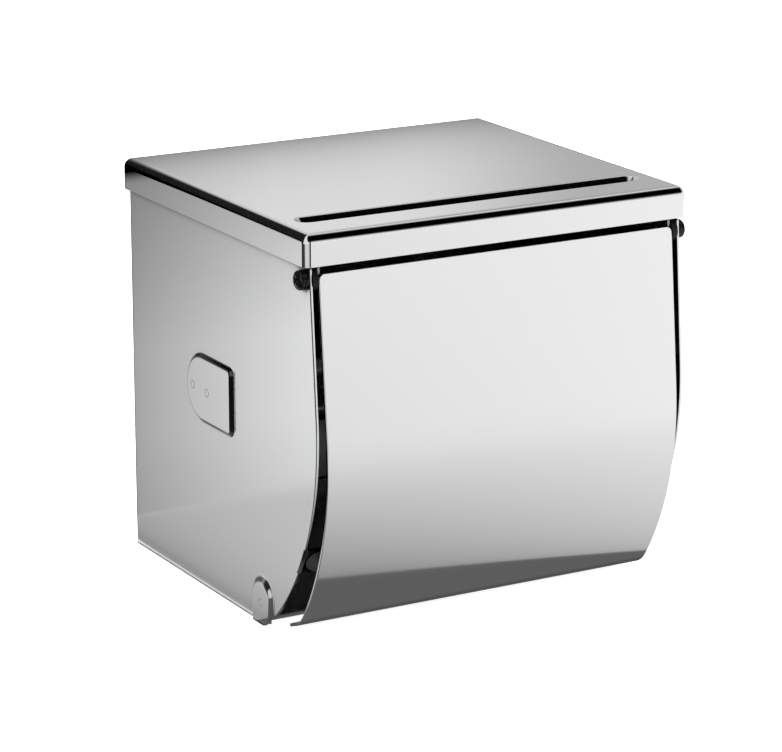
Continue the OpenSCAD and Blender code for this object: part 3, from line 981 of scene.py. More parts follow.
@dataclass
class Lid:
    """The pressed lid: a flat top with a groove and a rim all round.

    Attributes:
        sizes: the shared sizes.
        edge_r: radius between the top and the rim.
        corner_r: radius of the upright corners.
        groove_w: width of the groove.
        groove_depth: its depth.
        groove_inset: distance from the lid's front to its middle.
        groove_end: distance from each side of the lid to its end.
        groove_edge_r: radius at its mouth.
        groove_foot_r: radius at its floor.
        steps: segments in each rounding.
    """

    sizes: BoxSizes
    edge_r: float = 3.0 * MM
    corner_r: float = 2.2 * MM
    groove_w: float = 8.0 * MM
    groove_depth: float = 2.0 * MM
    groove_inset: float = 18.4 * MM
    groove_end: float = 6.5 * MM
    groove_edge_r: float = 1.2 * MM
    groove_foot_r: float = 0.8 * MM
    steps: int = 12

    def plan(self, inset: float, z: float) -> Loop:
        """The lid's outline at a height.

        Args:
            inset: distance in from the outside.
            z: the height.

        Returns:
            The outline's points.
        """
        half, depth = self.sizes.half_lid - inset, self.sizes.lid_d
        corners = [(-half, inset - depth), (half, inset - depth), (half, -inset), (-half, -inset)]
        radius = max(self.corner_r - inset, 0.05 * MM)
        return [Vector((x, y, z)) for x, y in rounded_outline(corners, [radius] * 4, self.steps)]

    def stadium(self, inset: float, z: float) -> Loop:
        """The groove's outline at a depth.

        Args:
            inset: distance in from the groove's sharp mouth.
            z: the height.

        Returns:
            The outline's points.
        """
        radius = self.groove_w / 2 - inset
        half = self.sizes.half_lid - self.groove_end - self.groove_w / 2
        centre_y = self.groove_inset - self.sizes.lid_d
        turns = 2 * self.steps
        points = []
        for sign in (1, -1):
            for k in range(turns + 1):
                angle = math.pi * k / turns - math.pi / 2
                points.append(Vector((
                    sign * (half + radius * math.cos(angle)), centre_y + sign * radius * math.sin(angle), z
                )))
        return points

    def build(self) -> bpy.types.Object:
        """Makes the lid.

        Returns:
            The lid, as thick sheet with broken edges.
        """
        sheet, top = SheetMesh(), self.sizes.z_top
        rows = [self.plan(0, self.sizes.z_rim), self.plan(0, top - self.edge_r - 0.1 * MM)]
        for k in range(self.steps + 1):
            angle = math.pi / 2 * k / self.steps
            fall = self.edge_r * (1 - math.sin(angle))
            rows.append(self.plan(self.edge_r * (1 - math.cos(angle)), top - fall))
        rows.append(self.plan(self.edge_r + 0.2 * MM, top))
        outer = sheet.loft(rows, closed=True)
        wall = pressed_wall(self.groove_depth, self.groove_edge_r, self.groove_foot_r, 5)
        mouth = [self.stadium(wall[0][0] - 0.2 * MM, top)]
        mouth += [self.stadium(inset, top - fall) for inset, fall in wall]
        mouth.append(self.stadium(wall[-1][0] + 0.2 * MM, top - self.groove_depth))
        groove = sheet.loft(mouth, closed=True)
        sheet.flat([outer[-1], groove[0]])
        sheet.flat([groove[-1]])
        middle = Vector((0, -self.sizes.lid_d / 2, self.sizes.z_rim))
        obj = sheet.piece("lid_pressing", lambda point: point - middle)
        finish_sheet(obj, self.sizes.sheet, 0.2 * MM)
        return obj


# ---------------------------------------------------------------- folded body


@dataclass
class FoldedBody:
    """The back and sides, folded from one sheet, with pressed pockets and channels.

    Attributes:
        sizes: the shared sizes.
        fold_r: radius of the folds.
        lean: lean of the straight part of the front edge.
        sweep_r: radius of the swept lower front edge.
        nose_up: height of the foremost point above the bottom edge.
        inset: distance from the lid's front back to the front edge, level with the rim.
        corner_r: radius of the bottom front corner.
        rim_drop: how far under the rim's lower edge the side steps back to fit inside it.
        pocket_h: height of the D-shaped pocket.
        pocket_l: its length.
        pocket_front: distance from the roller's axis to its flat front.
        pocket_corner_r: radius of its front corners.
        channel_w: width of the bottom channel.
        channel_h: its height.
        channel_fade: how many times longer the slope at its top is than at its sides.
        seat_w: width of the flange under the lid.
        seat_back: distance from the wall to the flange.
        seat_front: distance from the lid's front to the flange.
        stop_up: height of the stop's tab above the bottom edge.
        stop_w: width of the stop.
        stop_h: its height.
        hole_dx: distance between the wall holes along x.
        hole_dz: distance between them along z.
        hole_r: their radius.
        tab_r: radius of the fold at the tab.
        bore_r: radius of the screw's bore.
        lip: width of the level strip at the foot and top of a pressing.
        border: width of the narrow faces round each flat stretch.
    """

    sizes: BoxSizes
    fold_r: float = 2.0 * MM
    lean: float = math.radians(4.5)
    sweep_r: float = 88.0 * MM
    nose_up: float = 69.2 * MM
    inset: float = 1.1 * MM
    corner_r: float = 4.0 * MM
    rim_drop: float = 0.5 * MM
    pocket_h: float = 23.0 * MM
    pocket_l: float = 32.5 * MM
    pocket_front: float = 9.5 * MM
    pocket_corner_r: float = 2.6 * MM
    channel_w: float = 13.5 * MM
    channel_h: float = 16.0 * MM
    channel_fade: float = 2.0
    seat_w: float = 9.0 * MM
    seat_back: float = 8.0 * MM
    seat_front: float = 26.4 * MM
    stop_up: float = 28.0 * MM
    stop_w: float = 9.0 * MM
    stop_h: float = 10.0 * MM
    hole_dx: float = 80.0 * MM
    hole_dz: float = 60.0 * MM
    hole_r: float = 2.5 * MM
    tab_r: float = 1.1 * MM
    bore_r: float = 1.55 * MM
    lip: float = 0.2 * MM
    border: float = 0.3 * MM

    def __post_init__(self) -> None:
        """Works out where the side's straight edge ends and the centre of its sweep."""
        s = self.sizes
        self.sweep_z = s.z_bottom + self.nose_up
        self.lean_z = self.sweep_z + self.sweep_r * math.sin(self.lean)
        self.lean_y = self.inset - s.lid_d - (s.z_rim - self.lean_z) * math.tan(self.lean)
        self.sweep_y = self.lean_y + self.sweep_r * math.cos(self.lean)
        inner = self.sweep_r - self.corner_r
        self.corner_angle = math.asin((self.sweep_z - s.z_bottom - self.corner_r) / inner)
        self.corner_y = self.sweep_y - inner * math.cos(self.corner_angle)
        self.z_side = s.z_rim - self.rim_drop
        self.z_fold = s.z_top - s.sheet - self.fold_r
        self.stop_angle = math.asin((self.nose_up - self.stop_up) / self.sweep_r)
        self.wall = pressed_wall(s.press_h, 1.0 * MM, 1.3 * MM, 6)

    def on_sweep(self, angle: float, radius: float) -> Point:
        """A point (y, z) on the sweep of the front edge, at an angle below the level."""
        return self.sweep_y - radius * math.cos(angle), self.sweep_z - radius * math.sin(angle)

    def side_points(self, points: Sequence[Point], rise: float = 0.0) -> Loop:
        """Puts (y, z) points on the left side, raised outwards."""
        return [Vector((-self.sizes.half_body - rise, y, z)) for y, z in points]

    def lower_z(self, y: float) -> float:
        """Height of the side's lower edge at a depth, round the bottom front corner and up the sweep.

        Args:
            y: the place along the edge.

        Returns:
            The edge's height there.
        """
        if y >= self.corner_y:
            return self.sizes.z_bottom
        if y >= self.corner_y - self.corner_r * math.cos(self.corner_angle):
            drop = math.sqrt(self.corner_r ** 2 - (y - self.corner_y) ** 2)
            return self.sizes.z_bottom + self.corner_r - drop
        return self.sweep_z - math.sqrt(self.sweep_r ** 2 - (y - self.sweep_y) ** 2)

    def bottom_corner(self) -> list[Point]:
        """The rounded bottom front corner, from the bottom edge to the sweep.

        Returns:
            The corner's (y, z) points.
        """
        points = []
        for k in range(9):
            angle = math.pi / 2 + (self.corner_angle - math.pi / 2) * k / 8
            y = self.corner_y - self.corner_r * math.cos(angle)
            points.append((y, self.sizes.z_bottom + self.corner_r * (1 - math.sin(angle))))
        return points

    def front_edge(self) -> list[Point]:
        """The side's edge from the channel's foot up to the lid's rim, with a step for the stop's tab.

        Returns:
            The edge's (y, z) points.
        """
        foot_y, foot_z = self.channel(self.wall[0][0])[0]
        foot = math.atan2(self.sweep_z - foot_z, self.sweep_y - foot_y)
        half_tab = self.stop_h / 2 / self.sweep_r
        low, high = self.stop_angle + half_tab, self.stop_angle - half_tab
        points = []
        for start, end, radius, first, steps in (
            (foot, low, self.sweep_r, 1, 8), (low, high, self.sweep_r - self.tab_r, 0, 6),
            (high, -self.lean, self.sweep_r, 0, 20),
        ):
            for k in range(first, steps + 1):
                points.append(self.on_sweep(start + (end - start) * k / steps, radius))
        points.append((self.lean_y + (self.z_side - self.lean_z) * math.tan(self.lean), self.z_side))
        return points

    def pocket(self, inset: float) -> list[Point]:
        """The D-shaped pocket's outline: flat to the front and round to the back.

        Args:
            inset: distance in from the foot of the sharp wall.

        Returns:
            The outline's (y, z) points.
        """
        axle, radius = self.sizes.axle, self.pocket_h / 2 - inset
        corner = max(self.pocket_corner_r - inset, 0.4 * MM)
        front = axle.y - self.pocket_front + inset + corner
        back = axle.y - self.pocket_front + self.pocket_l - self.pocket_h / 2
        turn = [math.pi / 2 * k / 6 for k in range(7)]
        low = axle.z - radius + corner
        lower = [(front - corner * math.cos(a), low - corner * math.sin(a)) for a in turn]
        bow = [math.pi * k / 32 - math.pi / 2 for k in range(33)]
        rear = [(back + radius * math.cos(a), axle.z + radius * math.sin(a)) for a in bow]
        upper = [(y, 2 * axle.z - z) for y, z in reversed(lower)]
        return lower + rear + upper

    def channel(self, inset: float) -> list[Point]:
        """The channel's outline from the side's lower edge, over its top and back down to the bottom.

        Args:
            inset: distance in from the foot of the sharp wall.

        Returns:
            The outline's (y, z) points.
        """
        half = self.channel_w / 2 - inset
        rise = self.channel_w / 2 - inset * self.channel_fade
        top_z = self.sizes.z_bottom + self.channel_h - self.channel_w / 2
        middle = self.sizes.channel_y
        front, back = middle - half, middle + half
        bow = [math.pi * k / 24 for k in range(25)]
        arc = [(middle - half * math.cos(a), top_z + rise * math.sin(a)) for a in bow]
        return [(front, self.lower_z(front))] + arc + [(back, self.sizes.z_bottom)]

    def side(self, sheet: SheetMesh) -> None:
        """Adds the left side with its pressings, its flange for the lid and its tab for the stop.

        Args:
            sheet: the skin that it is added to.
        """
        s = self.sizes
        pocket = sheet.loft(
            [self.side_points(self.pocket(self.wall[0][0] - self.lip))]
            + [self.side_points(self.pocket(inset), rise) for inset, rise in self.wall]
            + [self.side_points(self.pocket(self.wall[-1][0] + self.lip), s.press_h)], closed=True)
        sheet.flat([pocket[-1]])
        channel = sheet.loft(
            [self.side_points(self.channel(inset), rise) for inset, rise in self.wall]
            + [self.side_points(self.channel(self.wall[-1][0] + self.lip), s.press_h)], closed=False)
        sheet.flat([channel[-1] + sheet.row(self.side_points(self.bottom_corner(), s.press_h))])
        bore = sheet.row(self.side_points(circle((s.pivot.y, s.pivot.z), self.bore_r, 24)))
        front = sheet.row(self.side_points(self.front_edge()))
        seat = [-(s.lid_d - self.seat_front), -self.seat_back]
        upper = sheet.row(self.side_points([
            (s.sheet + s.rim_gap - s.lid_d, self.z_side), (s.sheet + s.rim_gap - s.lid_d, self.z_fold),
            (seat[0], self.z_fold), (seat[1], self.z_fold), (-self.fold_r, self.z_fold),
        ]))
        low_back = sheet.row(self.side_points([(-self.fold_r, s.z_bottom)]))
        sheet.flat([front + upper + low_back + channel[0][::-1], pocket[0], bore], self.border)
        self.lid_seat(sheet, seat)
        self.stop_tab(sheet)

    def lid_seat(self, sheet: SheetMesh, reach: Sequence[float]) -> None:
        """Adds the flange that is folded in under the lid.

        Args:
            sheet: the skin that it is added to.
            reach: y of the flange's two ends.
        """
        s = self.sizes
        rows = []
        for k in range(7):
            angle = math.pi / 2 * k / 6
            x = -s.half_body + self.fold_r * (1 - math.cos(angle))
            rows.append([Vector((x, y, self.z_fold + self.fold_r * math.sin(angle))) for y in reach])
        rows.append([Vector((-s.half_body + self.seat_w, y, self.z_fold + self.fold_r)) for y in reach])
        sheet.loft(rows, closed=False)

    def stop_tab(self, sheet: SheetMesh) -> None:
        """Adds the tab that is folded in from the front edge for the cover's stop.

        Args:
            sheet: the skin that it is added to.
        """
        s = self.sizes
        half_tab = self.stop_h / 2 / self.sweep_r
        angles = [self.stop_angle + half_tab * (1 - k / 3) for k in range(7)]
        path = [(0.0, self.sweep_r - self.tab_r)]
        for k in range(1, 6):
            angle = math.pi / 2 * k / 5
            rise = self.tab_r * (1 - math.sin(angle))
            path.append((self.tab_r * (1 - math.cos(angle)), self.sweep_r - rise))
        path.append((s.sheet + self.stop_w, self.sweep_r))
        rows = []
        for x, radius in path:
            rows.append([Vector((-s.half_body + x, *self.on_sweep(angle, radius))) for angle in angles])
        sheet.loft(rows, closed=False)

    def back(self, sheet: SheetMesh) -> None:
        """Adds the left fold and the left half of the back, with its wall holes.

        Args:
            sheet: the skin that it is added to.
        """
        s = self.sizes
        rows = []
        for k in range(9):
            angle = math.pi / 2 * k / 8
            x = -s.half_body + self.fold_r * (1 - math.cos(angle))
            y = -self.fold_r * (1 - math.sin(angle))
            rows.append([Vector((x, y, z)) for z in (s.z_bottom, self.z_fold)])
        fold = sheet.loft(rows, closed=False)
        middle = sheet.row([Vector((0, 0, self.z_fold)), Vector((0, 0, s.z_bottom))])
        holes = []
        for up in (-1, 1):
            ring = circle((-self.hole_dx / 2, up * self.hole_dz / 2), self.hole_r, 32)
            holes.append(sheet.row([Vector((x, 0, z)) for x, z in ring]))
        sheet.flat([fold[-1] + middle, *holes], self.border)

    def build(self) -> bpy.types.Object:
        """Makes the folded body.

        Returns:
            The body, as thick sheet with broken edges.
        """
        sheet = SheetMesh()
        self.side(sheet)
        self.back(sheet)
        bmesh.ops.remove_doubles(sheet.bm, verts=sheet.bm.verts[:], dist=0.002 * MM)
        sheet.mirror_x()
        middle = Vector((0, -self.sizes.lid_d / 2, 0))
        obj = sheet.piece("folded_body", lambda point: point - middle)
        finish_sheet(obj, self.sizes.sheet, 0.2 * MM)
        return obj


# ---------------------------------------------------------------- cover


@dataclass
class Cover:
    """The swinging cover: flat above, swept below and bent back into a lip.

    Attributes:
        sizes: the shared sizes.
        lean: lean of the flat part.
        sweep_r: radius of the sweep.
        inset: distance from the lid's front back to the cover's top edge.
        nose_up: height of the foremost point above the box's bottom edge.
        sweep_end: angle below the level where the sweep ends.
        bend_r: radius of the bend into the lip.
        bend_end: angle where the bend ends.
        lip_l: length of the lip.
        lip_corner_r: radius of the lip's corners.
        top_corner_r: radius of the top corners.
        flat_share: share of the half width where the narrow faces at each side edge begin.
    """

    sizes: BoxSizes
    lean: float = math.radians(5.2)
    sweep_r: float = 95.0 * MM
    inset: float = 0.6 * MM
    nose_up: float = 60.8 * MM
    sweep_end: float = math.radians(34)
    bend_r: float = 10.0 * MM
    bend_end: float = math.radians(69.5)
    lip_l: float = 8.4 * MM
    lip_corner_r: float = 5.0 * MM
    top_corner_r: float = 2.0 * MM
    flat_share: float = 0.995

    def __post_init__(self) -> None:
        """Works out the centres of the sweep and of the bend."""
        s = self.sizes
        self.sweep_z = s.z_bottom + self.nose_up
        self.flat_z = self.sweep_z + self.sweep_r * math.sin(self.lean)
        self.flat_y = self.inset - s.lid_d - (s.cover_top - self.flat_z) * math.tan(self.lean)
        self.sweep_y = self.flat_y + self.sweep_r * math.cos(self.lean)
        self.bend_y = self.sweep_y - (self.sweep_r - self.bend_r) * math.cos(self.sweep_end)
        self.bend_z = self.sweep_z - (self.sweep_r - self.bend_r) * math.sin(self.sweep_end)

    def section(self) -> list[tuple[float, float, float]]:
        """The cover's section from its top edge to the tip of its lip.

        Returns:
            Points (y, z, half width).
        """
        s, half = self.sizes, self.sizes.half_cover
        points = []
        for k in range(9):
            angle = math.pi / 2 * k / 8
            down = self.top_corner_r * (1 - math.cos(angle))
            width = half - self.top_corner_r * (1 - math.sin(angle))
            z = s.cover_top - down
            points.append((self.flat_y + (z - self.flat_z) * math.tan(self.lean), z, width))
        near = 0.3 * MM
        points.append((self.flat_y + near * math.tan(self.lean), self.flat_z + near, half))
        sweeps = (
            (self.sweep_y, self.sweep_z, self.sweep_r, -self.lean, self.sweep_end, 0, 48),
            (self.bend_y, self.bend_z, self.bend_r, self.sweep_end, self.bend_end, 1, 14),
        )
        for y, z, radius, start, end, first, steps in sweeps:
            for k in range(first, steps + 1):
                angle = start + (end - start) * k / steps
                points.append((y - radius * math.cos(angle), z - radius * math.sin(angle), half))
        last_y, last_z, _ = points[-1]
        straight = self.lip_l - self.lip_corner_r
        reaches = [(0.2 * MM, 0.0), (straight, 0.0)]
        for k in range(1, 9):
            angle = math.pi / 2 * k / 8
            narrower = self.lip_corner_r * (1 - math.cos(angle))
            reaches.append((straight + self.lip_corner_r * math.sin(angle), narrower))
        for reach, narrower in reaches:
            points.append((last_y + reach * math.sin(self.bend_end), last_z - reach * math.cos(self.bend_end),
                           half - narrower))
        return points

    def build(self) -> bpy.types.Object:
        """Makes the cover.

        Returns:
            The cover, as thick sheet with broken edges.
        """
        sheet = SheetMesh()
        columns = (-1.0, -self.flat_share, -0.5, 0.0, 0.5, self.flat_share, 1.0)
        rows = [[Vector((width * u, y, z)) for u in columns] for y, z, width in self.section()]
        sheet.loft(rows, closed=False)
        obj = sheet.piece("swept_cover", lambda point: Vector((0, -1, 0)))
        finish_sheet(obj, self.sizes.sheet, 0.2 * MM)
        return obj


# ---------------------------------------------------------------- pivots


@dataclass
class Pivots:
    """The screw, washer and bush at each end of the cover's hinge, and the cover's ears.

    Attributes:
        sizes: the shared sizes.
        screw_r: radius over the thread.
        head_r: radius of the pan head.
        head_h: height of the head.
        head_rim: share of the head's height that is its upright rim.
        head_flatness: how flat the head's top is.
        pitch: distance between the thread's turns.
        thread_depth: depth of the thread.
        point_l: length of the bevelled point.
        washer_t: thickness of the washer.
        washer_r: its radius.
        shoulder_r: radius that the ear turns on.
        flange_r: radius of the bush's flange.
        flange_t: thickness of the flange.
        bush_l: length of the bush.
        run: clearance round the screw.
        recess_r: reach of each arm of the cross recess.
        recess_w: width of an arm.
    """

    sizes: BoxSizes
    screw_r: float = 1.5 * MM
    head_r: float = 3.1 * MM
    head_h: float = 2.0 * MM
    head_rim: float = 0.35
    head_flatness: float = 0.75
    pitch: float = 0.5 * MM
    thread_depth: float = 0.2 * MM
    point_l: float = 0.3 * MM
    washer_t: float = 1.2 * MM
    washer_r: float = 3.2 * MM
    shoulder_r: float = 2.2 * MM
    flange_r: float = 4.0 * MM
    flange_t: float = 1.8 * MM
    bush_l: float = 3.3 * MM
    run: float = 0.05 * MM
    recess_r: float = 1.7 * MM
    recess_w: float = 0.8 * MM

    @property
    def line(self) -> Vector:
        """The hinge's axis in the middle of the box."""
        return Vector((0, self.sizes.pivot.y, self.sizes.pivot.z))

    def screw(self, side: Side) -> bpy.types.Object:
        """A pan-head screw with a cross recess and a rolled thread.

        Args:
            side: the side that it is for.

        Returns:
            The screw.
        """
        s = self.sizes
        seat = -s.half_body - self.washer_t
        dome = []
        for k in range(10):
            angle = math.pi / 2 * k / 10
            rise = self.head_h * (self.head_rim + (1 - self.head_rim) * math.sin(angle))
            dome.append((seat - rise, self.head_r * math.cos(angle) ** self.head_flatness))
        end = -s.half_in + self.bush_l
        start = end - self.point_l
        profile = [(end, 0.0), (end, self.screw_r - self.point_l), (start, self.screw_r)]
        for k in range(1, int((start - seat) / self.pitch)):
            x = start - k * self.pitch
            profile += [(x + self.pitch * 0.45, self.screw_r - self.thread_depth), (x, self.screw_r)]
        profile += [(seat, self.screw_r), (seat, self.head_r - 0.15 * MM), (seat - 0.12 * MM, self.head_r)]
        profile += dome + [(seat - self.head_h, 0.0)]
        obj = lathe(f"pan_head_screw_{side.word}", profile, self.line, 48)
        cutter = self.cross(seat - self.head_h)
        cut = obj.modifiers.new("cross_recess", "BOOLEAN")
        cut.operation = "DIFFERENCE"
        cut.object = cutter
        cut.solver = "EXACT"
        plain_copy(obj)
        bpy.data.objects.remove(cutter)
        finish_sheet(obj, 0, 0.05 * MM)
        return mirrored(obj, side)

    def cross(self, face_x: float) -> bpy.types.Object:
        """The tapered cross that the recess is cut with.

        Args:
            face_x: x of the head's outer face.

        Returns:
            The cutting shape.
        """
        s = self.sizes
        sheet = SheetMesh()
        wide, slim = self.recess_r, self.recess_w / 2
        outline = []
        for quarter in range(4):
            turn = Matrix.Rotation(math.pi / 2 * quarter + math.pi / 4, 2)
            for corner in ((wide, -slim), (wide, slim), (slim, slim)):
                outline.append(turn @ Vector(corner))
        rows = []
        for x, share in ((-0.5 * MM, 1.15), (1.3 * MM, 0.55)):
            rows.append([
                Vector((face_x + x, s.pivot.y + p.x * share, s.pivot.z + p.y * share)) for p in outline
            ])
        made = sheet.loft(rows, closed=True)
        sheet.cap(made[0])
        sheet.cap(made[1][::-1])
        return sheet.piece("cross_cutter")

    def washer(self, side: Side) -> bpy.types.Object:
        """A thick washer with rounded edges under the screw's head.

        Args:
            side: the side that it is for.

        Returns:
            The washer.
        """
        x0 = -self.sizes.half_body - self.washer_t
        x1, inner, edge = -self.sizes.half_body, self.screw_r + self.run, 0.25 * MM
        outer, near = self.washer_r, edge * 0.3
        profile = [(x0, inner), (x0, outer - edge), (x0 + near, outer - near), (x0 + edge, outer),
                   (x1 - edge, outer), (x1 - near, outer - near), (x1, outer - edge), (x1, inner)]
        obj = lathe(f"pivot_spacer_{side.word}", profile, self.line, 48)
        finish_sheet(obj, 0, 0.04 * MM)
        return mirrored(obj, side)

    def bush(self, side: Side) -> bpy.types.Object:
        """A flanged bush that the cover's ear turns on.

        Args:
            side: the side that it is for.

        Returns:
            The bush.
        """
        x0, inner, edge = -self.sizes.half_in, self.screw_r + self.run, 0.2 * MM
        flange, end = x0 + self.flange_t, x0 + self.bush_l
        profile = [(x0, inner), (x0, self.flange_r), (flange - edge, self.flange_r),
                   (flange, self.flange_r - edge), (flange, self.shoulder_r), (end - edge, self.shoulder_r),
                   (end, self.shoulder_r - edge), (end, inner)]
        obj = lathe(f"shoulder_bush_{side.word}", profile, self.line, 48)
        finish_sheet(obj, 0, 0.04 * MM)
        return mirrored(obj, side)

    def build(self, shop: Workshop) -> None:
        """Makes and seats the pieces on both sides.

        Args:
            shop: dresses and seats them.
        """
        for side in Side:
            shop.seat(self.screw(side), "black", Body.CASE, f"pivot_screw_{side.word}")
            shop.seat(self.washer(side), "black", Body.CASE, f"pivot_washer_{side.word}")
            shop.seat(self.bush(side), "bush", Body.CASE, f"pivot_bush_{side.word}")
            ear = refined(f"cover_ear_{side.word}", f"welded_ear_{side.word}", 0.12 * MM)
            shop.seat(ear, "inner", Body.COVER, f"cover_ear_{side.word}")


# ---------------------------------------------------------------- roller


@dataclass
class Roller:
    """The sprung roller: two telescoping tubes with nylon ends and a spring inside.

    Attributes:
        sizes: the shared sizes.
        tube_r: radius of the wide tube.
        wall: thickness of both tubes.
        slide: clearance between the tubes.
        cap_t: thickness of an end's disc.
        spigot_l: length of an end's spigot.
        cup_floor: thickness of the floor under the spring.
        cup_r: radius of the hollow that holds the spring.
        pin_r: radius of a pin.
        pin_l: length of a pin.
    """

    sizes: BoxSizes
    tube_r: float = 12.5 * MM
    wall: float = 1.0 * MM
    slide: float = 0.2 * MM
    cap_t: float = 1.0 * MM
    spigot_l: float = 8.0 * MM
    cup_floor: float = 2.0 * MM
    cup_r: float = 8.3 * MM
    pin_r: float = 4.0 * MM
    pin_l: float = 5.2 * MM

    @property
    def line(self) -> Vector:
        """The roller's axis in the middle of the box."""
        return Vector((0, self.sizes.axle.y, self.sizes.axle.z))

    def tube(self, name: str, start: float, end: float, radius: float) -> bpy.types.Object:
        """A tube with its ends broken.

        Args:
            name: the piece's name.
            start: x of one end.
            end: x of the other.
            radius: its outer radius.

        Returns:
            The tube.
        """
        inner, edge = radius - self.wall, 0.3 * MM
        profile = [(start, inner), (start, radius - edge), (start + edge, radius), (end - edge, radius),
                   (end, radius - edge), (end, inner)]
        obj = lathe(name, profile, self.line, 96)
        finish_sheet(obj, 0, 0.1 * MM)
        return obj

    def end_cap(self, name: str, end: float, spigot_r: float, side: Side) -> bpy.types.Object:
        """A moulded end: a dished disc with a spigot and a round-nosed pin.

        Args:
            name: the piece's name.
            end: distance from the middle of the box to the disc's outer face.
            spigot_r: radius of the spigot.
            side: which end of the roller.

        Returns:
            The end cap.
        """
        nose, edge = 0.9 * MM, 0.25 * MM
        inside = -end + self.cap_t + self.cup_floor
        profile = [(-end - self.pin_l, 0.0)]
        profile += [(-end - self.pin_l + nose * (1 - math.cos(math.pi / 2 * k / 6)),
                     self.pin_r - nose * (1 - math.sin(math.pi / 2 * k / 6))) for k in range(7)]
        root, face = 0.4 * MM, -end + self.cap_t
        tip = face + self.spigot_l
        profile += [(-end - root, self.pin_r), (-end, self.pin_r + root), (-end, self.tube_r - edge),
                    (-end + edge, self.tube_r), (face, self.tube_r), (face, spigot_r), (tip - edge, spigot_r),
                    (tip, spigot_r - edge), (tip, self.cup_r), (inside, self.cup_r), (inside, 0.0)]
        obj = lathe(name, profile, self.line, 96)
        finish_sheet(obj, 0, 0.08 * MM)
        return mirrored(obj, side)

    def build(self, shop: Workshop) -> None:
        """Makes and seats the roller's pieces.

        Args:
            shop: dresses and seats them.
        """
        outer_low, outer_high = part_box("roller_outer_tube")
        inner_low, inner_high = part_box("roller_inner_tube")
        end = -outer_low.x + self.cap_t
        inner_r = self.tube_r - self.wall - self.slide
        outer = self.tube("wide_tube", outer_low.x, outer_high.x, self.tube_r)
        shop.seat(outer, "tube", Body.ROLLER, "roller_outer_tube")
        inner = self.tube("narrow_tube", inner_low.x, inner_high.x, inner_r)
        shop.seat(inner, "tube", Body.SLIDER, "roller_inner_tube")
        left = self.end_cap("nylon_end_left", end, self.tube_r - self.wall, Side.LEFT)
        shop.seat(left, "nylon", Body.ROLLER, "roller_cap_left")
        right = self.end_cap("nylon_end_right", end, inner_r - self.wall, Side.RIGHT)
        shop.seat(right, "nylon", Body.SLIDER, "roller_cap_right")
        shop.seat(SpringCoil(self.sizes).build(shop), "wire", Body.ROLLER, "roller_spring")


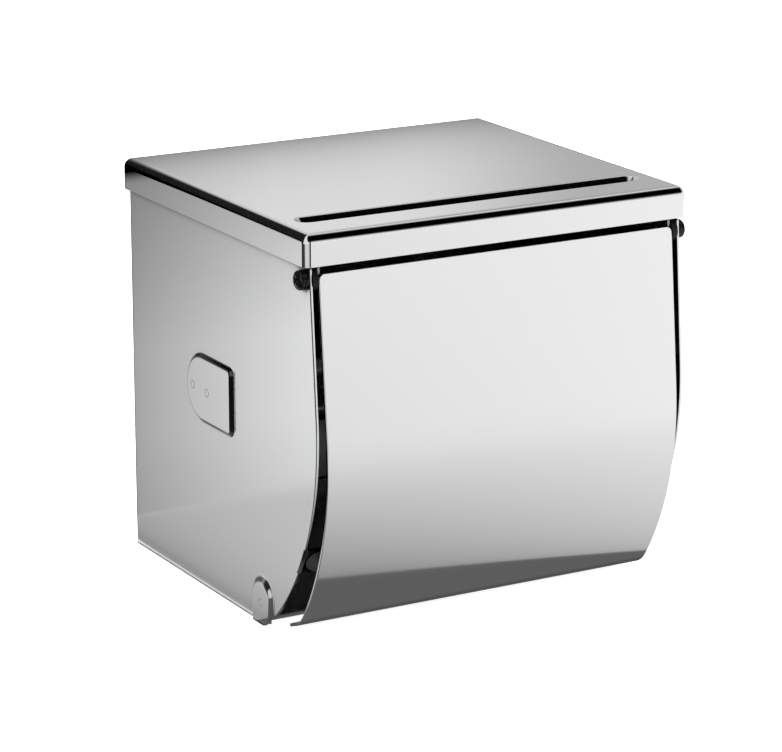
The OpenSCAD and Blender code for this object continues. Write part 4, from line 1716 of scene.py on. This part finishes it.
@dataclass
class SpringCoil:
    """The compression spring inside the roller, wound with closed ends.

    Attributes:
        sizes: the shared sizes.
        turns: number of turns in all.
        closed_turns: turns that touch at each end.
        wire_r: radius of the wire.
        steps_per_turn: points along the wire in one turn.
    """

    sizes: BoxSizes
    turns: float = 16.0
    closed_turns: float = 1.5
    wire_r: float = 0.6 * MM
    steps_per_turn: int = 40

    def tree(self) -> bpy.types.NodeTree:
        """The tree that winds the wire round the x axis.

        Returns:
            A geometry tree with inputs for the coil's radius, length, turns, closed turns and wire.
        """
        number = "NodeSocketFloat"
        graph, given, out = new_group(
            "wound_spring", "GeometryNodeTree",
            {"Geometry": ("NodeSocketGeometry", None), "Coil Radius": (number, 0.0), "Length": (number, 0.0),
             "Turns": (number, 0.0), "Closed Turns": (number, 0.0), "Wire Radius": (number, 0.0),
             "Points": ("NodeSocketInt", 8), "Axle": ("NodeSocketVector", (0.0, 0.0, 0.0)),
             "Finish": ("NodeSocketMaterial", None)},
            {"Geometry": "NodeSocketGeometry"},
        )
        get = given.outputs
        line = graph.add("GeometryNodeCurvePrimitiveLine", mode="POINTS")
        points = graph.add(
            "GeometryNodeResampleCurve", inputs={"Curve": line.outputs[0], "Count": get["Points"]})
        along = graph.add("GeometryNodeSplineParameter").outputs["Factor"]
        turn = graph.product(along, get["Turns"])
        angle = graph.product(turn, 2 * math.pi)
        pitch = graph.product(get["Wire Radius"], 2.0)
        closed = graph.product(get["Closed Turns"], pitch)
        open_turns = graph.math("SUBTRACT", get["Turns"], graph.product(get["Closed Turns"], 2.0))
        open_length = graph.math("SUBTRACT", get["Length"], graph.product(closed, 2.0))
        share = graph.math("DIVIDE", graph.math("SUBTRACT", turn, get["Closed Turns"]), open_turns)
        share = graph.math("MINIMUM", graph.math("MAXIMUM", share, 0.0), 1.0)
        first = graph.product(graph.math("MINIMUM", turn, get["Closed Turns"]), pitch)
        last_turn = graph.math("SUBTRACT", get["Turns"], get["Closed Turns"])
        beyond = graph.math("MAXIMUM", graph.math("SUBTRACT", turn, last_turn), 0.0)
        last = graph.product(beyond, pitch)
        place = graph.math("ADD", graph.math("ADD", first, last), graph.product(share, open_length))
        x = graph.math("SUBTRACT", place, graph.product(get["Length"], 0.5))
        y = graph.product(graph.math("COSINE", angle), get["Coil Radius"])
        z = graph.product(graph.math("SINE", angle), get["Coil Radius"])
        spot = graph.add("ShaderNodeCombineXYZ", inputs={0: x, 1: y, 2: z})
        moved = graph.add(
            "ShaderNodeVectorMath", operation="ADD", inputs={0: spot.outputs[0], 1: get["Axle"]})
        wound = graph.add(
            "GeometryNodeSetPosition", inputs={"Geometry": points.outputs[0], "Position": moved.outputs[0]})
        wire = graph.add(
            "GeometryNodeCurvePrimitiveCircle", inputs={"Resolution": 10, "Radius": get["Wire Radius"]})
        swept = graph.add(
            "GeometryNodeCurveToMesh",
            inputs={"Curve": wound.outputs[0], "Profile Curve": wire.outputs[0], "Fill Caps": True})
        smooth = graph.add("GeometryNodeSetShadeSmooth", inputs={0: swept.outputs[0], "Shade Smooth": True})
        real = graph.add("GeometryNodeRealizeInstances", inputs={0: smooth.outputs[0]})
        dressed = graph.add("GeometryNodeSetMaterial", inputs={0: real.outputs[0], "Material": get["Finish"]})
        graph.tree.links.new(dressed.outputs[0], out.inputs[0])
        return graph.tree

    def build(self, shop: Workshop) -> bpy.types.Object:
        """Winds the spring.

        Args:
            shop: holds the wire's finish.

        Returns:
            The spring as a plain mesh.
        """
        low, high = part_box("roller_spring")
        obj = SheetMesh().piece("wound_spring")
        grow = obj.modifiers.new("winding", "NODES")
        grow.node_group = self.tree()
        set_inputs(grow, {
            "Coil Radius": (high.z - low.z) / 2 - self.wire_r, "Length": high.x - low.x - 2 * self.wire_r,
            "Turns": self.turns, "Closed Turns": self.closed_turns, "Wire Radius": self.wire_r,
            "Points": int(self.turns * self.steps_per_turn),
            "Axle": Vector(((low.x + high.x) / 2, self.sizes.axle.y, self.sizes.axle.z)),
            "Finish": shop.materials["wire"],
        })
        plain_copy(obj)
        return obj


def set_inputs(modifier: bpy.types.Modifier, values: dict[str, object]) -> None:
    """Sets the named inputs of a geometry nodes modifier.

    Args:
        modifier: the modifier.
        values: each input's name and value.
    """
    for item in modifier.node_group.interface.items_tree:
        if item.item_type == "SOCKET" and item.in_out == "INPUT" and item.name in values:
            modifier[item.identifier] = values[item.name]


# ---------------------------------------------------------------- spot welds


@dataclass
class SpotWelds:
    """The faint rings that the spot welder leaves on the outside of the sheet.

    Attributes:
        sizes: the shared sizes.
        ring_r: radius of a ring.
        bead_r: radius of its bead.
        proud: how far the bead stands out of the sheet.
        rear_spot: distance of the rear pocket weld behind the roller's axis.
        front_spot: distance of the front pocket weld behind the axis.
        front_drop: height of the front weld above the axis.
        channel_spot: height of the channel's weld above the bottom edge.
    """

    sizes: BoxSizes
    ring_r: float = 1.25 * MM
    bead_r: float = 0.16 * MM
    proud: float = 0.07 * MM
    rear_spot: float = 17.6 * MM
    front_spot: float = 7.5 * MM
    front_drop: float = -0.5 * MM
    channel_spot: float = 7.3 * MM

    def tree(self) -> bpy.types.NodeTree:
        """The tree that sets one ring at each point, facing along x.

        Returns:
            A geometry tree with inputs for the ring's radius, its bead and its finish.
        """
        number = "NodeSocketFloat"
        graph, given, out = new_group(
            "weld_rings", "GeometryNodeTree",
            {"Geometry": ("NodeSocketGeometry", None), "Ring Radius": (number, 0.0),
             "Bead Radius": (number, 0.0), "Finish": ("NodeSocketMaterial", None)},
            {"Geometry": "NodeSocketGeometry"},
        )
        get = given.outputs
        ring = graph.add(
            "GeometryNodeCurvePrimitiveCircle", inputs={"Resolution": 32, "Radius": get["Ring Radius"]})
        bead = graph.add(
            "GeometryNodeCurvePrimitiveCircle", inputs={"Resolution": 8, "Radius": get["Bead Radius"]})
        swept = graph.add(
            "GeometryNodeCurveToMesh", inputs={"Curve": ring.outputs[0], "Profile Curve": bead.outputs[0]})
        stood = graph.add(
            "GeometryNodeTransform", inputs={0: swept.outputs[0], "Rotation": (0.0, math.pi / 2, 0.0)})
        placed = graph.add(
            "GeometryNodeInstanceOnPoints", inputs={"Points": get[0], "Instance": stood.outputs[0]})
        smooth = graph.add("GeometryNodeSetShadeSmooth", inputs={0: placed.outputs[0], "Shade Smooth": True})
        real = graph.add("GeometryNodeRealizeInstances", inputs={0: smooth.outputs[0]})
        dressed = graph.add("GeometryNodeSetMaterial", inputs={0: real.outputs[0], "Material": get["Finish"]})
        graph.tree.links.new(dressed.outputs[0], out.inputs[0])
        return graph.tree

    def build(self, shop: Workshop) -> None:
        """Makes and seats the rings on both sides.

        Args:
            shop: dresses and seats them.
        """
        s, tree = self.sizes, self.tree()
        out = s.half_body + s.press_h + self.proud - self.bead_r
        spots = [
            (s.axle.y + self.rear_spot, 0.0), (s.axle.y + self.front_spot, self.front_drop),
            (s.channel_y, s.z_bottom + self.channel_spot),
        ]
        for side in Side:
            sheet = SheetMesh()
            sheet.row([Vector((side.value * out, y, z)) for y, z in spots])
            obj = sheet.piece(f"weld_marks_{side.word}")
            grow = obj.modifiers.new("rings", "NODES")
            grow.node_group = tree
            set_inputs(grow, {
                "Ring Radius": self.ring_r, "Bead Radius": self.bead_r, "Finish": shop.materials["body"],
            })
            plain_copy(obj)
            shop.seat(obj, "body", Body.CASE)


# ---------------------------------------------------------------- inner fittings


@dataclass
class InnerFittings:
    """The pan, the roll brackets and the soft stops."""

    sizes: BoxSizes

    def build(self, shop: Workshop) -> None:
        """Makes and seats the inner pieces.

        Args:
            shop: dresses and seats them.
        """
        shop.seat(refined("bottom_pan", "rolled_edge_pan", 0.12 * MM), "inner", Body.CASE, "bottom_pan")
        for side in Side:
            bracket = refined(f"roll_bracket_{side.word}", f"pin_bracket_{side.word}", 0.12 * MM)
            shop.seat(bracket, "inner", Body.CASE, f"roll_bracket_{side.word}")
            stop = refined(f"cover_stop_{side.word}", f"soft_stop_{side.word}", 0.5 * MM)
            shop.seat(stop, "silicone", Body.CASE, f"cover_stop_{side.word}")


# ---------------------------------------------------------------- studio


Strength = Callable[["Graph", bpy.types.NodeOutputs], object]


@dataclass
class Studio:
    """A plain pale table, soft light, cards that only the steel mirrors, and the camera.

    Attributes:
        sizes: the shared sizes.
        lens: the camera's focal length in millimetres, on a sensor 36 mm wide.
        camera_at: the camera's place.
        yaw: how far the camera is turned to its right.
        pitch: how far it looks down.
        table_half: half the table's width.
        table_tone: the table's grey.
        table_lift: how much the table glows where the camera sees it.
        key: strength of the soft light from above.
        surround: strength of the surround.
        dark_from: direction of the dark part of the surround.
        card_back: how far behind the wall face the rear card stands.
        card_front: where the card before the box and the card beside it meet.
        card_reach: how far the cards reach to the left and right.
    """

    sizes: BoxSizes
    lens: float = 158.483
    camera_at: Vector = field(default_factory=lambda: Vector((-0.54232, -1.01138, 0.30599)))
    yaw: float = math.radians(29.6436)
    pitch: float = math.radians(15.8038)
    table_half: float = 30.0
    table_tone: float = 0.86
    table_lift: float = 0.9
    key: float = 3.2
    surround: float = 1.15
    dark_from: Vector = field(default_factory=lambda: Vector((0.3, -0.7, 0.65)))
    card_back: float = 25 * MM
    card_front: float = -90 * MM
    card_reach: float = 900 * MM

    def camera(self) -> None:
        """Sets up the camera."""
        data = bpy.data.cameras.new("camera")
        data.lens, data.sensor_width, data.sensor_fit = self.lens, 36.0, "HORIZONTAL"
        data.clip_start, data.clip_end = 0.01, 100.0
        obj = bpy.data.objects.new("camera", data)
        obj.location = self.camera_at
        obj.rotation_euler = (math.pi / 2 - self.pitch, 0, -self.yaw)
        bpy.context.scene.collection.objects.link(obj)
        bpy.context.scene.camera = obj

    def table(self) -> None:
        """Lays the table just under the box. It glows a little, so that shadows on it stay faint."""
        half = self.table_half
        corners = self.level((-half, -half), (half, half), self.sizes.z_bottom - 0.2 * MM)
        sheet = SheetMesh()
        sheet.cap(sheet.row(corners))
        obj = sheet.piece("table", lambda point: Vector((0, 0, 1)))
        material, graph, shader = new_material("pale_table")
        seen = graph.add("ShaderNodeLightPath").outputs["Is Camera Ray"]
        graph.link(graph.product(seen, self.table_lift), shader.inputs["Emission Strength"])
        shader.inputs["Emission Color"].default_value = (1, 1, 1, 1)
        shader.inputs["Base Color"].default_value = (self.table_tone, self.table_tone, self.table_tone, 1)
        shader.inputs["Roughness"].default_value = 0.9
        shader.inputs["Specular IOR Level"].default_value = 0.0
        obj.data.materials.append(material)

    def surround_light(self) -> None:
        """A soft surround, dark round the camera and above it, and white where it is seen directly."""
        world = bpy.data.worlds.new("soft_surround")
        world.use_nodes = True
        bpy.context.scene.world = world
        graph = Graph(world.node_tree)
        place = graph.add("ShaderNodeTexCoord").outputs["Generated"]
        facing = graph.add(
            "ShaderNodeVectorMath", operation="DOT_PRODUCT",
            inputs={0: place, 1: self.dark_from.normalized()})
        near = graph.remap(facing.outputs["Value"], (0.55, 0.8), (0.0, 1.0), smooth=True)
        high = graph.remap(graph.parts(place)["Z"], (0.0, 0.35), (0.0, 1.0), smooth=True)
        light = graph.math("SUBTRACT", 1.0, graph.product(near, high))
        seen = graph.add("ShaderNodeLightPath").outputs["Is Camera Ray"]
        back = world.node_tree.nodes["Background"]
        graph.link(graph.math("MAXIMUM", graph.product(light, self.surround), seen), back.inputs["Strength"])
        back.inputs["Color"].default_value = (1, 1, 1, 1)

    def soft_key(self) -> None:
        """A wide soft light from above that the steel doesn't mirror."""
        data = bpy.data.lights.new("soft_key", "SUN")
        data.energy, data.angle = self.key, math.radians(120)
        obj = bpy.data.objects.new("soft_key", data)
        obj.rotation_euler = (math.radians(12), math.radians(-10), 0)
        obj.visible_glossy = False
        bpy.context.scene.collection.objects.link(obj)

    def card(self, name: str, corners: Loop, strength: Strength) -> None:
        """A card that is seen only in the steel.

        Args:
            name: the card's name.
            corners: its four corners.
            strength: gives the light that it sends out, from the X, Y and Z of the place on it.
        """
        sheet = SheetMesh()
        sheet.cap(sheet.row(corners))
        obj = sheet.piece(name)
        material, graph, shader = new_material(name)
        graph.tree.nodes.remove(shader)
        place = graph.parts(graph.add("ShaderNodeTexCoord").outputs["Object"])
        glow = graph.add("ShaderNodeEmission", inputs={"Strength": strength(graph, place)})
        graph.link(glow.outputs[0], graph.tree.nodes["Material Output"].inputs["Surface"])
        obj.data.materials.append(material)
        obj.visible_camera = obj.visible_diffuse = obj.visible_shadow = False

    def level(self, low: Point, high: Point, z: float) -> Loop:
        """The corners of a level rectangle between two opposite corners.

        Args:
            low: x and y of one corner.
            high: x and y of the opposite corner.
            z: the height.

        Returns:
            The four corners.
        """
        places = ((low[0], low[1]), (high[0], low[1]), (high[0], high[1]), (low[0], high[1]))
        return [Vector((x, y, z)) for x, y in places]

    def upright(self, start: Point, end: Point, top: float) -> Loop:
        """The corners of an upright rectangle that stands on the table between two points.

        Args:
            start: x and y of one end.
            end: x and y of the other.
            top: the height of its top.

        Returns:
            The four corners.
        """
        z = self.sizes.z_bottom
        return [Vector((*start, z)), Vector((*end, z)), Vector((*end, top)), Vector((*start, top))]

    def past_lid(self, graph: Graph, place: bpy.types.NodeOutputs) -> bpy.types.NodeSocket:
        """The distance to the left of the lid."""
        return graph.math("SUBTRACT", graph.product(place["X"], -1.0), self.sizes.half_lid)

    def behind(self, graph: Graph, place: bpy.types.NodeOutputs) -> object:
        """Light from behind: darker close to the box, to the right of the lid and high up at its left.

        Args:
            graph: the graph of the card's material.
            place: the X, Y and Z of the place on the card.

        Returns:
            The light that each place sends out.
        """
        s, x, z = self.sizes, place["X"], place["Z"]
        above = graph.math("SUBTRACT", z, s.z_top)
        over = graph.product(
            graph.fade(graph.math("SUBTRACT", above, 6 * MM), far=0.98, drop=0.58, reach=8 * MM),
            graph.remap(x, (45 * MM, 140 * MM), (1.0, 0.6), smooth=True),
            graph.remap(x, (-60 * MM, 0.0), (0.78, 1.0)),
            graph.remap(x, (-75 * MM, -45 * MM), (0.02, 1.0), smooth=True),
        )
        left = self.past_lid(graph, place)
        beside = graph.product(
            graph.remap(left, (0.0, 85 * MM), (0.5, 1.2)),
            graph.remap(z, (-10 * MM, 55 * MM), (1.0, 0.6)),
            graph.remap(z, (s.z_bottom, -40 * MM), (0.88, 1.0)),
            graph.remap(left, (3 * MM, 11 * MM), (0.02, 1.0)),
            graph.remap(left, (100 * MM, 130 * MM), (1.0, 0.03)),
        )
        is_over = graph.remap(above, (-16 * MM, -10 * MM), (0.0, 1.0), smooth=True)
        stay = graph.product(beside, graph.math("SUBTRACT", 1.0, is_over))
        return graph.math("MULTIPLY_ADD", over, is_over, stay)

    def before(self, graph: Graph, place: bpy.types.NodeOutputs) -> object:
        """Light off the table before the box: dark up to a slanting line, then rising with distance.

        Args:
            graph: the graph of the card's material.
            place: the X, Y and Z of the place on the card.

        Returns:
            The light that each place sends out.
        """
        dark, near, most, growth, step = 0.17, 0.58, 1.2, 0.165, 5 * MM
        line, out = Vector((-51.0, -134.0)) * MM, Vector((0.1369, -0.9905))
        x, y = place["X"], place["Y"]
        away = graph.math("MULTIPLY_ADD", x, out.x, graph.product(y, out.y))
        away = graph.math("SUBTRACT", away, line.dot(out))
        far = graph.math("MULTIPLY_ADD", graph.math("MAXIMUM", away, 0.0), 1 / step, 1.0)
        rise = graph.math("MULTIPLY_ADD", graph.math("LOGARITHM", far, math.e), growth, near)
        slant = graph.math("DIVIDE", x, graph.product(y, -1.0))
        lit = graph.product(graph.math("MINIMUM", rise, most), graph.remap(slant, (-0.3, 0.7), (0.71, 1.16)))
        aside = graph.remap(y, (-290 * MM, -250 * MM), (1.0, 0.03))
        ahead = graph.remap(slant, (-0.5, -0.36), (0.0, 1.0))
        lit = graph.math(
            "MULTIPLY_ADD", lit, ahead, graph.product(aside, graph.math("SUBTRACT", 1.0, ahead)))
        beyond = graph.remap(away, (-0.3 * MM, 0.3 * MM), (0.0, 1.0))
        return graph.math("MULTIPLY_ADD", graph.math("SUBTRACT", lit, dark), beyond, dark)

    def beside(self, graph: Graph, place: bpy.types.NodeOutputs) -> object:
        """Light off the table to the left of the box, rising with distance.

        Args:
            graph: the graph of the card's material.
            place: the X, Y and Z of the place on the card.

        Returns:
            The light that each place sends out.
        """
        left = self.past_lid(graph, place)
        return graph.product(
            graph.fade(left, far=0.93, drop=0.44, reach=35 * MM),
            graph.remap(place["Y"], (-60 * MM, self.card_back), (1.0, 0.905)),
            graph.remap(left, (100 * MM, 130 * MM), (1.0, 0.03)),
        )

    def flag(self, graph: Graph, place: bpy.types.NodeOutputs) -> object:
        """The even tone of the black flag that gives the lid's front edge its dark line."""
        return 0.01

    def build(self) -> None:
        """Sets up the studio."""
        bpy.context.scene.view_settings.view_transform = "Standard"
        self.camera()
        self.table()
        self.surround_light()
        self.soft_key()
        reach, back, front = self.card_reach, self.card_back, self.card_front
        floor = self.sizes.z_bottom - 0.1 * MM
        self.card("card_behind", self.upright((-reach, back), (reach, back), 0.5), self.behind)
        self.card("card_before", self.level((-1.5, -6.0), (6.0, front), floor), self.before)
        edge = -self.sizes.half_lid
        self.card("card_beside", self.level((-reach, front), (edge, back), floor), self.beside)
        self.card("flag_front", self.upright((-0.08, -0.42), (0.045, -0.42), 0.3), self.flag)


def main() -> None:
    """Builds every sub-assembly in order."""
    logging.basicConfig(level=logging.INFO, format="%(name)s: %(message)s")
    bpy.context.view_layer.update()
    sizes = BoxSizes.from_frame()
    shop = Workshop(sizes)
    shop.seat(Lid(sizes).build(), "lid", Body.CASE, "lid_cap")
    shop.seat(FoldedBody(sizes).build(), "body", Body.CASE, "body_shell")
    shop.seat(Cover(sizes).build(), "cover", Body.COVER, "front_cover")
    Pivots(sizes).build(shop)
    InnerFittings(sizes).build(shop)
    Roller(sizes).build(shop)
    SpotWelds(sizes).build(shop)
    Studio(sizes).build()


if __name__ == "__main__":
    main()
